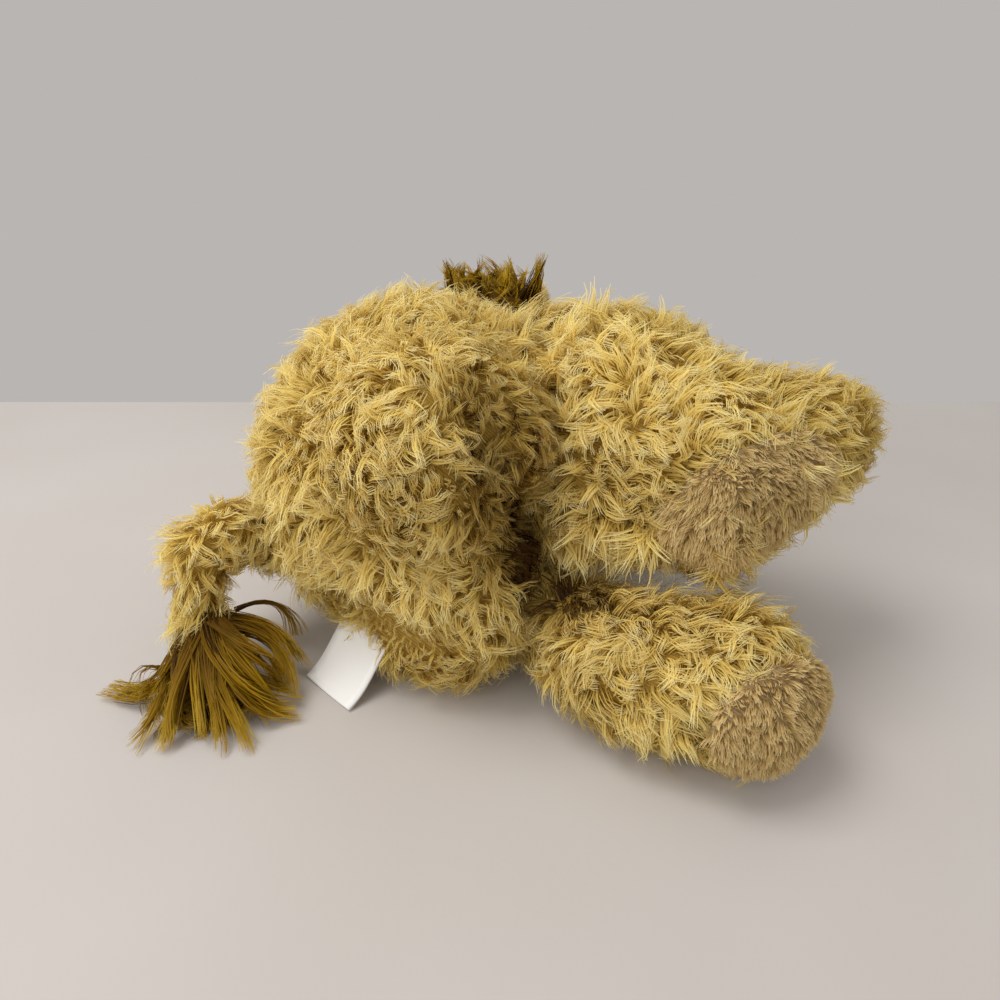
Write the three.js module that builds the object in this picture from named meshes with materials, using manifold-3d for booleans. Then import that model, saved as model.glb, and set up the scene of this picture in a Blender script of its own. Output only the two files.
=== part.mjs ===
// A shaggy plush lion, sewn as a seated toy, lying on its left side on a table.
// Millimetres. X is the lion's front, Y runs up its back to its head, and Z is up from the table,
// which is the lion's right side. While it is built, the middle of its hips stands over x = 0, y = 0.
import * as THREE from 'three';
import { mergeVertices } from 'three/addons/utils/BufferGeometryUtils.js';
import Module from 'manifold-3d';

const wasm = await Module();
wasm.setup();

// Cloth and clearances
const torsoSkinDepth = 9; // woven backing with its standing pile
const headSkinDepth = 8;
const limbSkinDepth = 7;
const tailSkinDepth = 6;
const seamGap = 0.3; // between neighbouring pieces that touch
const seamSpare = 2.5; // between a swinging limb and the flat of its seam
const legsClear = 2; // between the upper leg and the lower leg that it swings over
const restCut = 0.5; // how deep the stuffed forms are pressed flat on the table
const overrun = 6; // cutters reach this far past what they cut

// Torso: a pear lying on its side, with two haunches at its bottom end
const hipBreadth = 152; // back to front
const hipThickness = 158; // side to side
const seatReach = 78; // middle of the hips down to the lion's bottom
const neckReach = 112; // middle of the hips up to the neck seam
const neckForward = 22;
const neckHeight = 68;
const neckRadius = 34; // the round neck that the head turns on
const neckOpening = 32;
const haunchBreadth = 92;
const haunchThickness = 96;
const haunchForward = 11;
const haunchDrop = 44;
const pelletDepth = 26; // of the pellet pouch in the seat

// Head
const headBreadth = 108;
const headTall = 104;
const headThickness = 112;
const headLift = 53; // neck seam up to the middle of the head
const headForward = 11;
const headDroop = 1; // sideways, towards the table
const muzzleReach = 25;
const muzzleTall = 40;
const muzzleThickness = 54;
const noseReach = 7;
const noseTall = 13;
const noseThickness = 20;
const eyeDiameter = 13;
const eyeDome = 4.5;
const eyeStemDiameter = 4;
const eyeStemPast = 2; // how far the stem shows behind its washer
const washerDiameter = 16;
const washerDepth = 1.6;
const washerSpare = 3; // behind the skin's flat facets
const earTall = 34;
const earThickness = 33; // across the ear's face
const earDepth = 10;
const earRoot = 5; // how much of the ear's outline the head cuts away
const earLiningMargin = 4.5;
const earLiningProud = 0.8;
const earLiningDepth = 3.6;
const maneDepth = 60; // front to back
const maneThickness = 30; // root to tips
const maneTall = 152; // outside, along Y
const maneAcross = 134; // outside, along Z
const maneBack = 5; // how far it stands behind the middle of the head

// Limbs. A length runs from the seam's middle to the tip, a girth is the paw's diameter
const legLength = 132;
const legGirth = 88;
const thighGirth = 104;
const legRootRadius = 32;
const legOpening = 22;
const restingLegGirth = 70; // the lower leg is pressed against the table
const restingLegLength = 124;
const restingLegRootRadius = 21;
const solePadLong = 76;
const solePadWide = 50;
const restingSolePadLong = 58;
const restingSolePadWide = 50;
const armLength = 86;
const armGirth = 50;
const armRootRadius = 18;
const armOpening = 12;
const pawPadLong = 30;
const pawPadWide = 26;
const padSeat = 2.4; // how deep a pad is let into the pile
const padProud = 0.6;

// Tail, tuft and care label
const tailLength = 55;
const tailGirth = 34;
const tailBallProud = 1.5; // how much wider than the tail its root ball is
const tailMouthDiameter = 12;
const tuftLength = 56;
const tuftSpread = 78;
const tuftHeight = 25;
const labelWidth = 32;
const labelLength = 36;
const labelHeight = 22; // of its seam above the table
const labelThickness = 0.8;
const labelTuck = 10; // how much of it is tucked in beside the haunch, out of sight

// Swings, in degrees, each as [lowest, highest]
const headSwing = [-15, 15];
const rightLegSwing = [-8, 12];
const leftLegSwing = [-12, 3];
const armSwing = [-8, 30];
const tailSwing = [-40, 8];
const tuftSwing = [-20, 6];
const earSwing = [-8, 30];
const labelSwing = [0, 40];

// Facets
const formSides = 12;
const torsoSides = 16;
const domeRings = 3;
const spanRings = 1;
const ballSides = 12;
const ballRings = 6;
const roundSides = 12;

const up = new THREE.Vector3(0, 0, 1);
const front = new THREE.Vector3(1, 0, 0);

// Solids and meshes

function toSolid(geometry) {
  const bare = geometry.clone();
  bare.deleteAttribute('normal');
  bare.deleteAttribute('uv');
  const merged = mergeVertices(bare);
  return new wasm.Manifold(
    new wasm.Mesh({
      numProp: 3,
      vertProperties: new Float32Array(merged.attributes.position.array),
      triVerts: new Uint32Array(merged.index.array),
    }),
  );
}

function toGeometry(solid) {
  const { numProp, vertProperties, triVerts } = solid.getMesh();
  const positions = [];
  for (let i = 0; i < vertProperties.length; i += numProp) {
    positions.push(vertProperties[i], vertProperties[i + 1], vertProperties[i + 2]);
  }
  const geometry = new THREE.BufferGeometry();
  geometry.setAttribute('position', new THREE.Float32BufferAttribute(positions, 3));
  geometry.setIndex([...triVerts]);
  return geometry;
}

// The same solid after the piece that carries it has turned about its seam.
function turned(solid, joint, degrees) {
  const turn = new THREE.Matrix4().makeRotationAxis(joint.axis, THREE.MathUtils.degToRad(degrees));
  const geometry = toGeometry(solid);
  geometry.translate(-joint.at.x, -joint.at.y, -joint.at.z);
  geometry.applyMatrix4(turn);
  geometry.translate(joint.at.x, joint.at.y, joint.at.z);
  return toSolid(geometry);
}

// Cuts a moving piece back from an obstacle, at rest and at the ends of its swing.
// The piece swings, so the obstacle turns the other way as the piece sees it.
function clearOf(piece, obstacle, joint, swing) {
  return swing.filter((degrees) => degrees !== 0).reduce(
    (left, degrees) => left.subtract(turned(obstacle, joint, -degrees)),
    piece.subtract(obstacle),
  );
}

// A closed oval form: rings strung along a smooth spine, with a dome at each end.
// Under the spine an oval is a little flatter than over it, as stuffing settles. A facet, not an
// edge, lies undermost, so a form rests on a flat patch.
const settleShare = 0.86;

function ovalRing(station, sides, share, offset, inset) {
  const { at, along, upward, across, deep, settled } = station;
  const side = new THREE.Vector3().crossVectors(along, upward).normalize();
  const lift = new THREE.Vector3().crossVectors(side, along).normalize();
  const middle = at.clone().addScaledVector(along, offset);
  const reachShare = share / Math.cos(Math.PI / sides);
  return Array.from({ length: sides }, (_, i) => {
    const angle = ((2 * i + 1) / sides) * Math.PI;
    const sine = Math.sin(angle);
    const settledSine = settled && sine < 0 ? -(Math.abs(sine) ** settleShare) : sine;
    return middle
      .clone()
      .addScaledVector(side, (across - inset) * Math.cos(angle) * reachShare)
      .addScaledVector(lift, (deep - inset) * settledSine * reachShare);
  });
}

function stuffedForm(form, inset = 0) {
  const { stations, heading, startDome, endDome, upward = up, settled = false } = form;
  const sides = form.sides ?? formSides;
  const single = stations.length === 1;
  const places = new THREE.CatmullRomCurve3(stations.map((s) => s.at), false, 'centripetal');
  const sizes = new THREE.CatmullRomCurve3(stations.map((s) => new THREE.Vector3(s.across, s.deep, 0)));
  const steps = single ? 0 : (stations.length - 1) * spanRings;
  const along = (share) => (single ? heading.clone().normalize() : places.getTangent(share));
  const spine = Array.from({ length: steps + 1 }, (_, i) => {
    const share = steps === 0 ? 0 : i / steps;
    const at = single ? stations[0].at : places.getPoint(share);
    const size = single ? new THREE.Vector3(stations[0].across, stations[0].deep, 0) : sizes.getPoint(share);
    return { at, along: along(share), upward, across: size.x, deep: size.y, settled };
  });
  const domeAngles = Array.from({ length: domeRings - 1 }, (_, i) => ((i + 1) / domeRings) * (Math.PI / 2));
  const first = spine[0];
  const last = spine[spine.length - 1];
  const startReach = startDome - inset;
  const endReach = endDome - inset;
  const rings = [
    ...domeAngles.map((a) => ovalRing(first, sides, Math.sin(a), -startReach * Math.cos(a), inset)),
    ...spine.map((station) => ovalRing(station, sides, 1, 0, inset)),
    ...domeAngles.reverse().map((a) => ovalRing(last, sides, Math.sin(a), endReach * Math.cos(a), inset)),
  ];
  const startPole = first.at.clone().addScaledVector(first.along, -startReach);
  const endPole = last.at.clone().addScaledVector(last.along, endReach);
  return closedRings(rings, startPole, endPole);
}

// Joins rings into one closed body. The sides run clockwise as seen along the spine.
function closedRings(rings, startPole, endPole) {
  const sides = rings[0].length;
  const points = [startPole, ...rings.flat(), endPole];
  const index = [];
  const corner = (ring, side) => 1 + ring * sides + (side % sides);
  const lastRing = rings.length - 1;
  for (let side = 0; side < sides; side++) {
    index.push(0, corner(0, side), corner(0, side + 1));
    index.push(points.length - 1, corner(lastRing, side + 1), corner(lastRing, side));
    for (let ring = 0; ring < lastRing; ring++) {
      index.push(corner(ring, side), corner(ring + 1, side + 1), corner(ring, side + 1));
      index.push(corner(ring, side), corner(ring + 1, side), corner(ring + 1, side + 1));
    }
  }
  const geometry = new THREE.BufferGeometry().setFromPoints(points);
  geometry.setIndex(index);
  return toSolid(geometry);
}

function roundForm(at, heading, [reach, across, deep], options = {}) {
  return { stations: [{ at, across, deep }], heading, startDome: reach, endDome: reach, ...options };
}

// A ball whose poles lie on the swing's axis. A socket is the same ball, turned by half a facet and
// widened until its facets clear the ball's edges, so the ball just fits and still turns freely.
function ball(at, radius, axis = up) {
  const geometry = new THREE.SphereGeometry(radius, ballSides, ballRings);
  return placedAlong(geometry, at, axis);
}

function socket(at, radius, axis = up) {
  const widening = 1 / Math.cos(Math.PI / ballSides);
  const geometry = new THREE.SphereGeometry(radius, ballSides, ballRings);
  geometry.rotateY(Math.PI / ballSides);
  geometry.scale(widening, 1, widening);
  return placedAlong(geometry, at, axis);
}

// A round bar from one point along a direction.
function bar(at, direction, radius, length) {
  const geometry = new THREE.CylinderGeometry(radius, radius, length, roundSides);
  geometry.translate(0, length / 2, 0);
  return placedAlong(geometry, at, direction);
}

function placedAlong(geometry, at, direction) {
  const heading = direction.clone().normalize();
  geometry.applyQuaternion(new THREE.Quaternion().setFromUnitVectors(new THREE.Vector3(0, 1, 0), heading));
  geometry.translate(at.x, at.y, at.z);
  return toSolid(geometry);
}

// Everything behind the flat plane that a seam lies in, on the side that the piece isn't on.
function behindSeam(joint, outward, inset) {
  const geometry = new THREE.BoxGeometry(tableReach, tableReach, tableReach);
  geometry.translate(0, -tableReach / 2, 0);
  return placedAlong(geometry, joint.at.clone().addScaledVector(outward, inset + seamSpare), outward);
}

// Everything under the table's surface.
const tableReach = 2 * (seatReach + neckReach + headLift + maneTall);
const underTable = (() => {
  const geometry = new THREE.BoxGeometry(tableReach, tableReach, tableReach);
  geometry.translate(0, 0, -tableReach / 2);
  return toSolid(geometry);
})();

const group = new THREE.Group();

// How rough each finish is, from a mirror at 0 to chalk at 1.
const clothRoughness = 0.95;
const brushedRoughness = 0.8;
const glossRoughness = 0.12;
const mouldedRoughness = 0.5;
const satinRoughness = 0.45;

function addPiece(parent, name, solid, color, roughness = clothRoughness) {
  const geometry = toGeometry(solid).toNonIndexed();
  geometry.computeVertexNormals();
  const material = new THREE.MeshStandardMaterial({ color, roughness, metalness: 0 });
  const mesh = new THREE.Mesh(geometry, material);
  mesh.name = name;
  parent.add(mesh);
}

// A body of the toy that moves as one, with the joint that it swings on.
function addPart(name, joint, swing) {
  const part = new THREE.Group();
  part.name = name;
  part.userData = { joint, swing };
  group.add(part);
  return part;
}

const straw = 0xcfae6e;
const stuffingWhite = 0xf2efe8;
const taupe = 0xb09a80;
const mustard = 0x94731d;
const cream = 0xe2cfa4;
const black = 0x14100e;
const brown = 0x3d2617;
const labelWhite = 0xf1f0ee;
const pouchGrey = 0xb9bcc0;
const washerWhite = 0xe9e9e4;

// Torso

const hipHeight = hipThickness / 2 - restCut;
const neck = new THREE.Vector3(neckForward, neckReach, neckHeight);
const neckJoint = { at: neck, axis: up };

// Shares of the way up to the neck, and of the hips' half breadth and half thickness there.
const torsoTaperShares = [
  [0, 1],
  [0.2, 0.97],
  [0.42, 0.87],
  [0.64, 0.71],
  [0.84, 0.54],
  [0.96, 0.42],
];
const torsoForm = {
  stations: torsoTaperShares.map(([upShare, girthShare]) => ({
    at: new THREE.Vector3(
      neckForward * upShare,
      neckReach * upShare,
      THREE.MathUtils.lerp(hipHeight, neckHeight, upShare),
    ),
    across: (hipBreadth / 2) * girthShare,
    deep: (hipThickness / 2) * girthShare,
  })),
  startDome: seatReach,
  endDome: neckRadius / 2,
  settled: true,
  sides: torsoSides,
};

const haunchHeight = haunchThickness / 2 - restCut;
const haunchForms = [haunchHeight, 2 * hipHeight - haunchHeight].map((height) =>
  roundForm(new THREE.Vector3(haunchForward, -haunchDrop, height), new THREE.Vector3(0, 1, 0), [
    haunchBreadth / 2,
    haunchBreadth / 2,
    haunchThickness / 2,
  ]),
);

function torsoSolid(inset) {
  return [...haunchForms.map((form) => stuffedForm(form, inset)), ball(neck, neckRadius - inset)].reduce(
    (joined, form) => joined.add(form),
    stuffedForm(torsoForm, inset),
  );
}

// Where the limbs are sewn on

// Shares of the hips' half breadth forward, of the seat's reach up the lion and of the hips'
// thickness above the table.
const rightHipShares = [0.87, -0.35, 0.54];
const leftHipShares = [0.66, -0.64, 0.245];
const tailRootShares = [-0.86, -0.28, 0.36];

function onHips([forwardShare, upShare, heightShare]) {
  return new THREE.Vector3(
    (hipBreadth / 2) * forwardShare,
    seatReach * upShare,
    hipThickness * heightShare,
  );
}

const rightHip = onHips(rightHipShares);
const leftHip = onHips(leftHipShares);
const tailRoot = onHips(tailRootShares);
const shoulderForwardShare = 0.58;
const shoulderUpShare = 0.73;
const shoulderSpreadShare = 0.24;
const chestUpShare = 0.47; // the bulk that the arms point away from
const shoulders = [1, -1].map(
  (side) =>
    new THREE.Vector3(
      (hipBreadth / 2) * shoulderForwardShare,
      neckReach * shoulderUpShare,
      THREE.MathUtils.lerp(hipHeight, neckHeight, shoulderUpShare) +
        side * hipThickness * shoulderSpreadShare,
    ),
);

// Each row: shares of the limb's length forward, up the lion and above the seam, then of half its
// girth. Where the third share is null the limb lies on the table.
const rightLegShares = [
  [0.2, 0.146, 0.142, thighGirth / legGirth],
  [0.5, -0.067, 0.08, 1],
  [0.79, 0, 0.185, 0.62],
];
const leftLegShares = [
  [0.07, -0.085, -0.04, 0.8],
  [0.32, -0.266, null, 0.9],
  [0.62, -0.37, null, 1],
];
const rightArmShares = [
  [0.09, -0.02, 0.02, 0.78],
  [0.36, -0.02, 0.03, 0.82],
  [0.72, -0.04, -0.05, 0.95],
];
const leftArmShares = [
  [0.09, -0.02, -0.02, 0.78],
  [0.36, -0.08, -0.06, 0.82],
  [0.72, -0.22, null, 1],
];
const tailShares = [
  [-0.05, -0.02, 0.03, 0.9],
  [-0.34, -0.17, 0.17, 1],
  [-0.56, -0.37, 0.05, 1],
  [-0.58, -0.53, -0.46, 0.7],
];

function limbForm(root, length, girth, shares) {
  const stations = shares.map(([forward, upward, above, girthShare]) => {
    const half = (girth / 2) * girthShare;
    return {
      at: new THREE.Vector3(
        root.x + length * forward,
        root.y + length * upward,
        above === null ? half - restCut : root.z + length * above,
      ),
      across: half,
      deep: half,
    };
  });
  return { stations, startDome: stations[0].deep, endDome: stations[stations.length - 1].deep };
}

function limbSolid(limb, inset) {
  const { form, joint, outward, swing, rootRadius, hugsTorso } = limb;
  const obstacle = hugsTorso ? torsoSolid(-seamGap - inset) : behindSeam(joint, outward, inset);
  const free = clearOf(stuffedForm(form, inset), obstacle, joint, swing);
  return free.add(ball(joint.at, rootRadius - inset, joint.axis));
}

// An oval post that stands out of a paw, to cut a pad and its seat with.
function padPost(limb, grow) {
  const { pad } = limb;
  const geometry = new THREE.CylinderGeometry(1, 1, pad.reach, roundSides);
  geometry.translate(0, pad.reach / 2, 0);
  geometry.scale(pad.long / 2 + grow, 1, pad.wide / 2 + grow);
  const out = pad.facing.clone().normalize();
  const wide = new THREE.Vector3().crossVectors(pad.towards, out).normalize();
  const long = new THREE.Vector3().crossVectors(out, wide).normalize();
  geometry.applyMatrix4(new THREE.Matrix4().makeBasis(long, out, wide));
  geometry.translate(pad.at.x, pad.at.y, pad.at.z);
  return toSolid(geometry);
}

function addLimb(limb, obstacles = []) {
  const { name, joint, opening, pad } = limb;
  const cutAway = (solid, grow = 0) =>
    obstacles.reduce((left, obstacle) => left.subtract(obstacle(grow)), solid.subtract(underTable));
  const mouth = bar(joint.at, limb.outward.clone().negate(), opening / 2, limb.rootRadius + overrun);
  const hollow = cutAway(limbSolid(limb, limbSkinDepth), limbSkinDepth);
  const part = addPart(name, joint, limb.swing);
  const padBed = padPost(limb, seamGap).subtract(stuffedForm(limb.form, padSeat + seamGap));
  const skin = cutAway(limbSolid(limb, 0)).subtract(hollow).subtract(mouth).subtract(padBed);
  const stuffing = cutAway(limbSolid(limb, limbSkinDepth + seamGap), limbSkinDepth + seamGap);
  const patch = padPost(limb, 0)
    .intersect(stuffedForm(limb.form, -padProud))
    .subtract(stuffedForm(limb.form, padSeat));
  addPiece(part, `${name}_skin`, skin, straw);
  addPiece(part, `${name}_filling`, stuffing, stuffingWhite);
  addPiece(part, pad.name, cutAway(patch), taupe);
}

function limbOf(name, root, bulkMiddle, swing, [length, girth, shares], rootRadius, opening) {
  return {
    name,
    swing,
    rootRadius,
    opening,
    joint: { at: root, axis: up },
    outward: root.clone().sub(bulkMiddle).normalize(),
    form: limbForm(root, length, girth, shares),
  };
}

// How the pads face: shares of a step up or forward for each step straight down the lion.
const soleTiltShare = 0.11;
const soleRiseShare = 0.5;
const restingSoleTurnShare = 0.42;
const pawTurnShare = 0.5;
const down = new THREE.Vector3(0, -1, 0);
const hipMiddle = new THREE.Vector3(0, 0, hipHeight);
const rightLeg = limbOf(
  'right_leg', rightHip, hipMiddle, rightLegSwing, [legLength, legGirth, rightLegShares],
  legRootRadius, legOpening,
);
rightLeg.hugsTorso = true; // its thigh is wider than its seam
rightLeg.pad = {
  name: 'right_sole_pad',
  at: rightLeg.form.stations[1].at,
  facing: down.clone().addScaledVector(up, soleTiltShare),
  towards: front.clone().addScaledVector(up, soleRiseShare),
  long: solePadLong,
  wide: solePadWide,
  reach: legGirth,
};
const leftLeg = limbOf(
  'left_leg', leftHip, haunchForms[0].stations[0].at, leftLegSwing,
  [restingLegLength, restingLegGirth, leftLegShares], restingLegRootRadius, legOpening,
);
leftLeg.pad = {
  name: 'left_sole_pad',
  at: leftLeg.form.stations[2].at,
  facing: down.clone().addScaledVector(up, soleTiltShare).addScaledVector(front, restingSoleTurnShare),
  towards: new THREE.Vector3().subVectors(leftLeg.form.stations[2].at, leftLeg.form.stations[1].at),
  long: restingSolePadLong,
  wide: restingSolePadWide,
  reach: restingLegGirth,
};

const chest = new THREE.Vector3(
  neckForward * chestUpShare,
  neckReach * chestUpShare,
  THREE.MathUtils.lerp(hipHeight, neckHeight, chestUpShare),
);
const arms = ['right', 'left'].map((side, i) => {
  const shares = i === 0 ? rightArmShares : leftArmShares;
  const arm = limbOf(
    `${side}_arm`, shoulders[i], chest, armSwing, [armLength, armGirth, shares], armRootRadius, armOpening,
  );
  arm.pad = {
    name: `${side}_paw_pad`,
    at: arm.form.stations[2].at,
    facing: down.clone().addScaledVector(front, pawTurnShare),
    towards: front,
    long: pawPadLong,
    wide: pawPadWide,
    reach: armGirth,
  };
  return arm;
});

// The torso's pieces

const limbs = [rightLeg, leftLeg, ...arms];
const tailJoint = { at: tailRoot, axis: up };
const tailRadius = tailGirth / 2;
const tailRootRadius = tailRadius + tailBallProud;

function limbSockets(grow) {
  const balls = limbs.map((limb) => socket(limb.joint.at, limb.rootRadius + seamGap + grow, up));
  return balls.reduce((joined, one) => joined.add(one), socket(tailRoot, tailRootRadius + seamGap + grow));
}

const torsoHollow = torsoSolid(torsoSkinDepth).subtract(limbSockets(torsoSkinDepth));
const neckHole = bar(neck, new THREE.Vector3(0, 1, 0), neckOpening / 2, neckRadius + overrun);
const torsoSkin = torsoSolid(0)
  .subtract(limbSockets(0))
  .subtract(underTable)
  .subtract(torsoHollow)
  .subtract(neckHole);
const torsoStuffing = torsoSolid(torsoSkinDepth + seamGap).subtract(
  limbSockets(torsoSkinDepth + seamGap),
);
const pouchTop = torsoSkinDepth + pelletDepth - seatReach;
function belowPouchTop(top) {
  const geometry = new THREE.BoxGeometry(tableReach, tableReach, tableReach);
  geometry.translate(0, top - tableReach / 2, 0);
  return toSolid(geometry);
}
const torsoPart = addPart('torso');
addPiece(torsoPart, 'torso_skin', torsoSkin, straw);
const torsoFilling = torsoStuffing.subtract(belowPouchTop(pouchTop + seamGap));
addPiece(torsoPart, 'torso_filling', torsoFilling, stuffingWhite);
addPiece(torsoPart, 'pellet_pouch', torsoStuffing.intersect(belowPouchTop(pouchTop)), pouchGrey);

addLimb(rightLeg);
// The upper leg hangs over the lower leg, which is pressed in under it, also where the two swing
// closest together.
const upperLegRoom = (grow) => {
  const spare = -legsClear - grow;
  const swungDown = turned(stuffedForm(rightLeg.form, spare), rightLeg.joint, rightLegSwing[0]);
  return stuffedForm(rightLeg.form, spare).add(turned(swungDown, leftLeg.joint, -leftLegSwing[1]));
};
addLimb(leftLeg, [upperLegRoom]);
arms.forEach((arm) => addLimb(arm));

// Head

const headMiddle = new THREE.Vector3(neck.x + headForward, neck.y + headLift, neck.z - headDroop);
const skullHalf = new THREE.Vector3(headBreadth / 2, headTall / 2, headThickness / 2);
const skullForm = roundForm(headMiddle, front, skullHalf.toArray());
const headPart = addPart('head', neckJoint, headSwing);

// A direction on the lion's right side for 1, or on its left side for -1.
function sideways([forward, upward, outward], side) {
  return new THREE.Vector3(forward, upward, side * outward).normalize();
}

// A point on the skull in a direction from its middle.
function onSkull(direction) {
  const scaled = direction.clone().divide(skullHalf).length();
  return headMiddle.clone().addScaledVector(direction, 1 / scaled);
}

// The way from the middle of the skull to each eye: forward, up the lion, and to its side.
const eyeWayShares = [0.82, 0.34, 0.42];
const eyeDirections = [1, -1].map((side) => sideways(eyeWayShares, side));
const stemRadius = eyeStemDiameter / 2;
const washerRadius = washerDiameter / 2;
// The washer lies flat across the hollow's curve, so its rim sets how deep it sits.
const washerSag = washerRadius ** 2 / (2 * (skullHalf.y - headSkinDepth));
const washerFace = headSkinDepth + washerSag + washerSpare;
const stemLength = washerFace + washerDepth + eyeStemPast;

const neckSocket = socket(neck, neckRadius + seamGap);
const skullHollow = stuffedForm(skullForm, headSkinDepth).subtract(
  socket(neck, neckRadius + seamGap + headSkinDepth),
);
const stemHoles = eyeDirections
  .map((out) => {
    const start = onSkull(out).addScaledVector(out, overrun);
    return bar(start, out.clone().negate(), stemRadius + seamGap, stemLength + overrun);
  })
  .reduce((joined, one) => joined.add(one));
const headSkin = stuffedForm(skullForm)
  .subtract(neckSocket)
  .subtract(skullHollow)
  .subtract(bar(neck, new THREE.Vector3(0, 1, 0), neckOpening / 2, headLift))
  .subtract(stemHoles);
const washerRoom = eyeDirections
  .map((out) => bar(onSkull(out), out.clone().negate(), washerRadius + seamGap, stemLength + seamGap))
  .reduce((joined, one) => joined.add(one));
const headStuffing = stuffedForm(skullForm, headSkinDepth + seamGap)
  .subtract(socket(neck, neckRadius + headSkinDepth + 2 * seamGap))
  .subtract(washerRoom);
addPiece(headPart, 'head_skin', headSkin, straw);
addPiece(headPart, 'head_filling', headStuffing, stuffingWhite);

function lathed(profile, at, direction) {
  const points = profile.map(([radius, height]) => new THREE.Vector2(radius, height));
  return placedAlong(new THREE.LatheGeometry(points, roundSides), at, direction);
}

const domeSteps = 5;
eyeDirections.forEach((out, i) => {
  const side = i === 0 ? 'right' : 'left';
  const seat = onSkull(out).addScaledVector(out, seamGap);
  const dome = Array.from({ length: domeSteps + 1 }, (_, k) => {
    const angle = (k / domeSteps) * (Math.PI / 2);
    return [(eyeDiameter / 2) * Math.cos(angle), eyeDome * Math.sin(angle)];
  });
  dome[domeSteps][0] = 0;
  const eyeProfile = [[0, -stemLength], [stemRadius, -stemLength], [stemRadius, 0], ...dome];
  const washerProfile = [
    [stemRadius + seamGap, -washerFace - washerDepth],
    [washerRadius, -washerFace - washerDepth],
    [washerRadius, -washerFace],
    [stemRadius + seamGap, -washerFace],
    [stemRadius + seamGap, -washerFace - washerDepth],
  ];
  addPiece(headPart, `${side}_eye`, lathed(eyeProfile, seat, out), black, glossRoughness);
  addPiece(headPart, `${side}_eye_washer`, lathed(washerProfile, seat, out), washerWhite, mouldedRoughness);
});

const muzzleDropShare = 0.14; // of the head's height
const muzzleSinkShare = 0.3; // of the muzzle's reach
const noseForwardShare = 0.86; // of the muzzle's reach
const noseLiftShare = 0.22; // of the muzzle's height
const muzzleMiddle = new THREE.Vector3(
  headMiddle.x + skullHalf.x - muzzleReach * muzzleSinkShare,
  headMiddle.y - headTall * muzzleDropShare,
  headMiddle.z,
);
const muzzleForm = roundForm(muzzleMiddle, front, [muzzleReach, muzzleTall / 2, muzzleThickness / 2]);
const noseMiddle = new THREE.Vector3(
  muzzleMiddle.x + muzzleReach * noseForwardShare,
  muzzleMiddle.y + muzzleTall * noseLiftShare,
  muzzleMiddle.z,
);
const noseForm = roundForm(noseMiddle, front, [noseReach, noseTall / 2, noseThickness / 2]);
const muzzle = stuffedForm(muzzleForm).subtract(stuffedForm(skullForm, -seamGap));
addPiece(headPart, 'muzzle', muzzle, cream);
const nose = stuffedForm(noseForm).subtract(stuffedForm(muzzleForm, -seamGap));
addPiece(headPart, 'nose', nose, brown, brushedRoughness);

// Ears

// The ears stand out of the skull where these directions meet it.
const earWayShares = [0.56, 0.66, 0.5];
const earOutward = [1, -1].map((side) => sideways(earWayShares, side));
const ears = earOutward.map((out, i) => {
  const seat = onSkull(out);
  const stand = new THREE.Vector3(0, out.y, out.z).normalize();
  const middle = seat.clone().addScaledVector(stand, earTall / 2 - earRoot);
  const flap = roundForm(middle, stand, [earTall / 2, earThickness / 2, earDepth / 2], { upward: front });
  const liningMiddle = middle.clone().addScaledVector(front, earDepth / 2 + earLiningProud - earLiningDepth);
  const liningForm = roundForm(
    liningMiddle,
    stand,
    [earTall / 2 - earLiningMargin, earThickness / 2 - earLiningMargin, earLiningDepth],
    { upward: front },
  );
  // Folding forward is a positive turn about the ear's own root line.
  const axis = new THREE.Vector3().crossVectors(stand, front).normalize();
  return { side: i === 0 ? 'right' : 'left', flap, liningForm, joint: { at: seat, axis } };
});
const skullCutter = stuffedForm(skullForm, -2 * seamGap);
ears.forEach(({ side, flap, liningForm, joint }) => {
  const part = addPart(`${side}_ear`, joint, earSwing);
  const back = stuffedForm(flap).subtract(stuffedForm(liningForm, -seamGap));
  addPiece(part, `${side}_ear_back`, clearOf(back, skullCutter, joint, earSwing), straw);
  addPiece(part, `${side}_ear_lining`, clearOf(stuffedForm(liningForm), skullCutter, joint, earSwing), cream);
});

// Mane: a horseshoe of tufts round the head, open at the neck

const maneTufts = 9;
const maneSteps = 2 * maneTufts;
const quarterSteps = 7; // from the top of the head to the tuft that rests on the table
const maneHalfTurn = (90 / quarterSteps) * maneTufts; // degrees
const maneTuftShare = 0.1;
const maneMiddle = new THREE.Vector3(headMiddle.x - maneBack, headMiddle.y, maneAcross / 2 - restCut);
const maneStations = Array.from({ length: maneSteps + 1 }, (_, i) => {
  const angle = THREE.MathUtils.degToRad(THREE.MathUtils.lerp(-maneHalfTurn, maneHalfTurn, i / maneSteps));
  const tuft = i % 2 === 0 ? 1 : 1 - maneTuftShare;
  return {
    at: new THREE.Vector3(
      maneMiddle.x,
      maneMiddle.y + Math.cos(angle) * (maneTall - maneThickness) / 2,
      maneMiddle.z + Math.sin(angle) * (maneAcross - maneThickness) / 2,
    ),
    across: (maneThickness / 2) * tuft,
    deep: (maneDepth / 2) * tuft,
  };
});
const maneForm = {
  stations: maneStations, startDome: maneThickness / 2, endDome: maneThickness / 2, upward: front,
};
const earRoom = ears
  .flatMap(({ flap, joint }) =>
    [0, earSwing[0]].map((degrees) => turned(stuffedForm(flap, -seamGap), joint, degrees)),
  )
  .reduce((joined, one) => joined.add(one));
const maneRing = stuffedForm(maneForm)
  .subtract(stuffedForm(skullForm, -seamGap))
  .subtract(earRoom)
  .subtract(underTable);
addPiece(headPart, 'mane', maneRing, mustard);

// Tail and tuft

const tailForm = limbForm(tailRoot, tailLength, tailGirth, tailShares);
const tailEnd = tailForm.stations[tailForm.stations.length - 1];
const tuftJoint = { at: tailEnd.at, axis: up };

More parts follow.
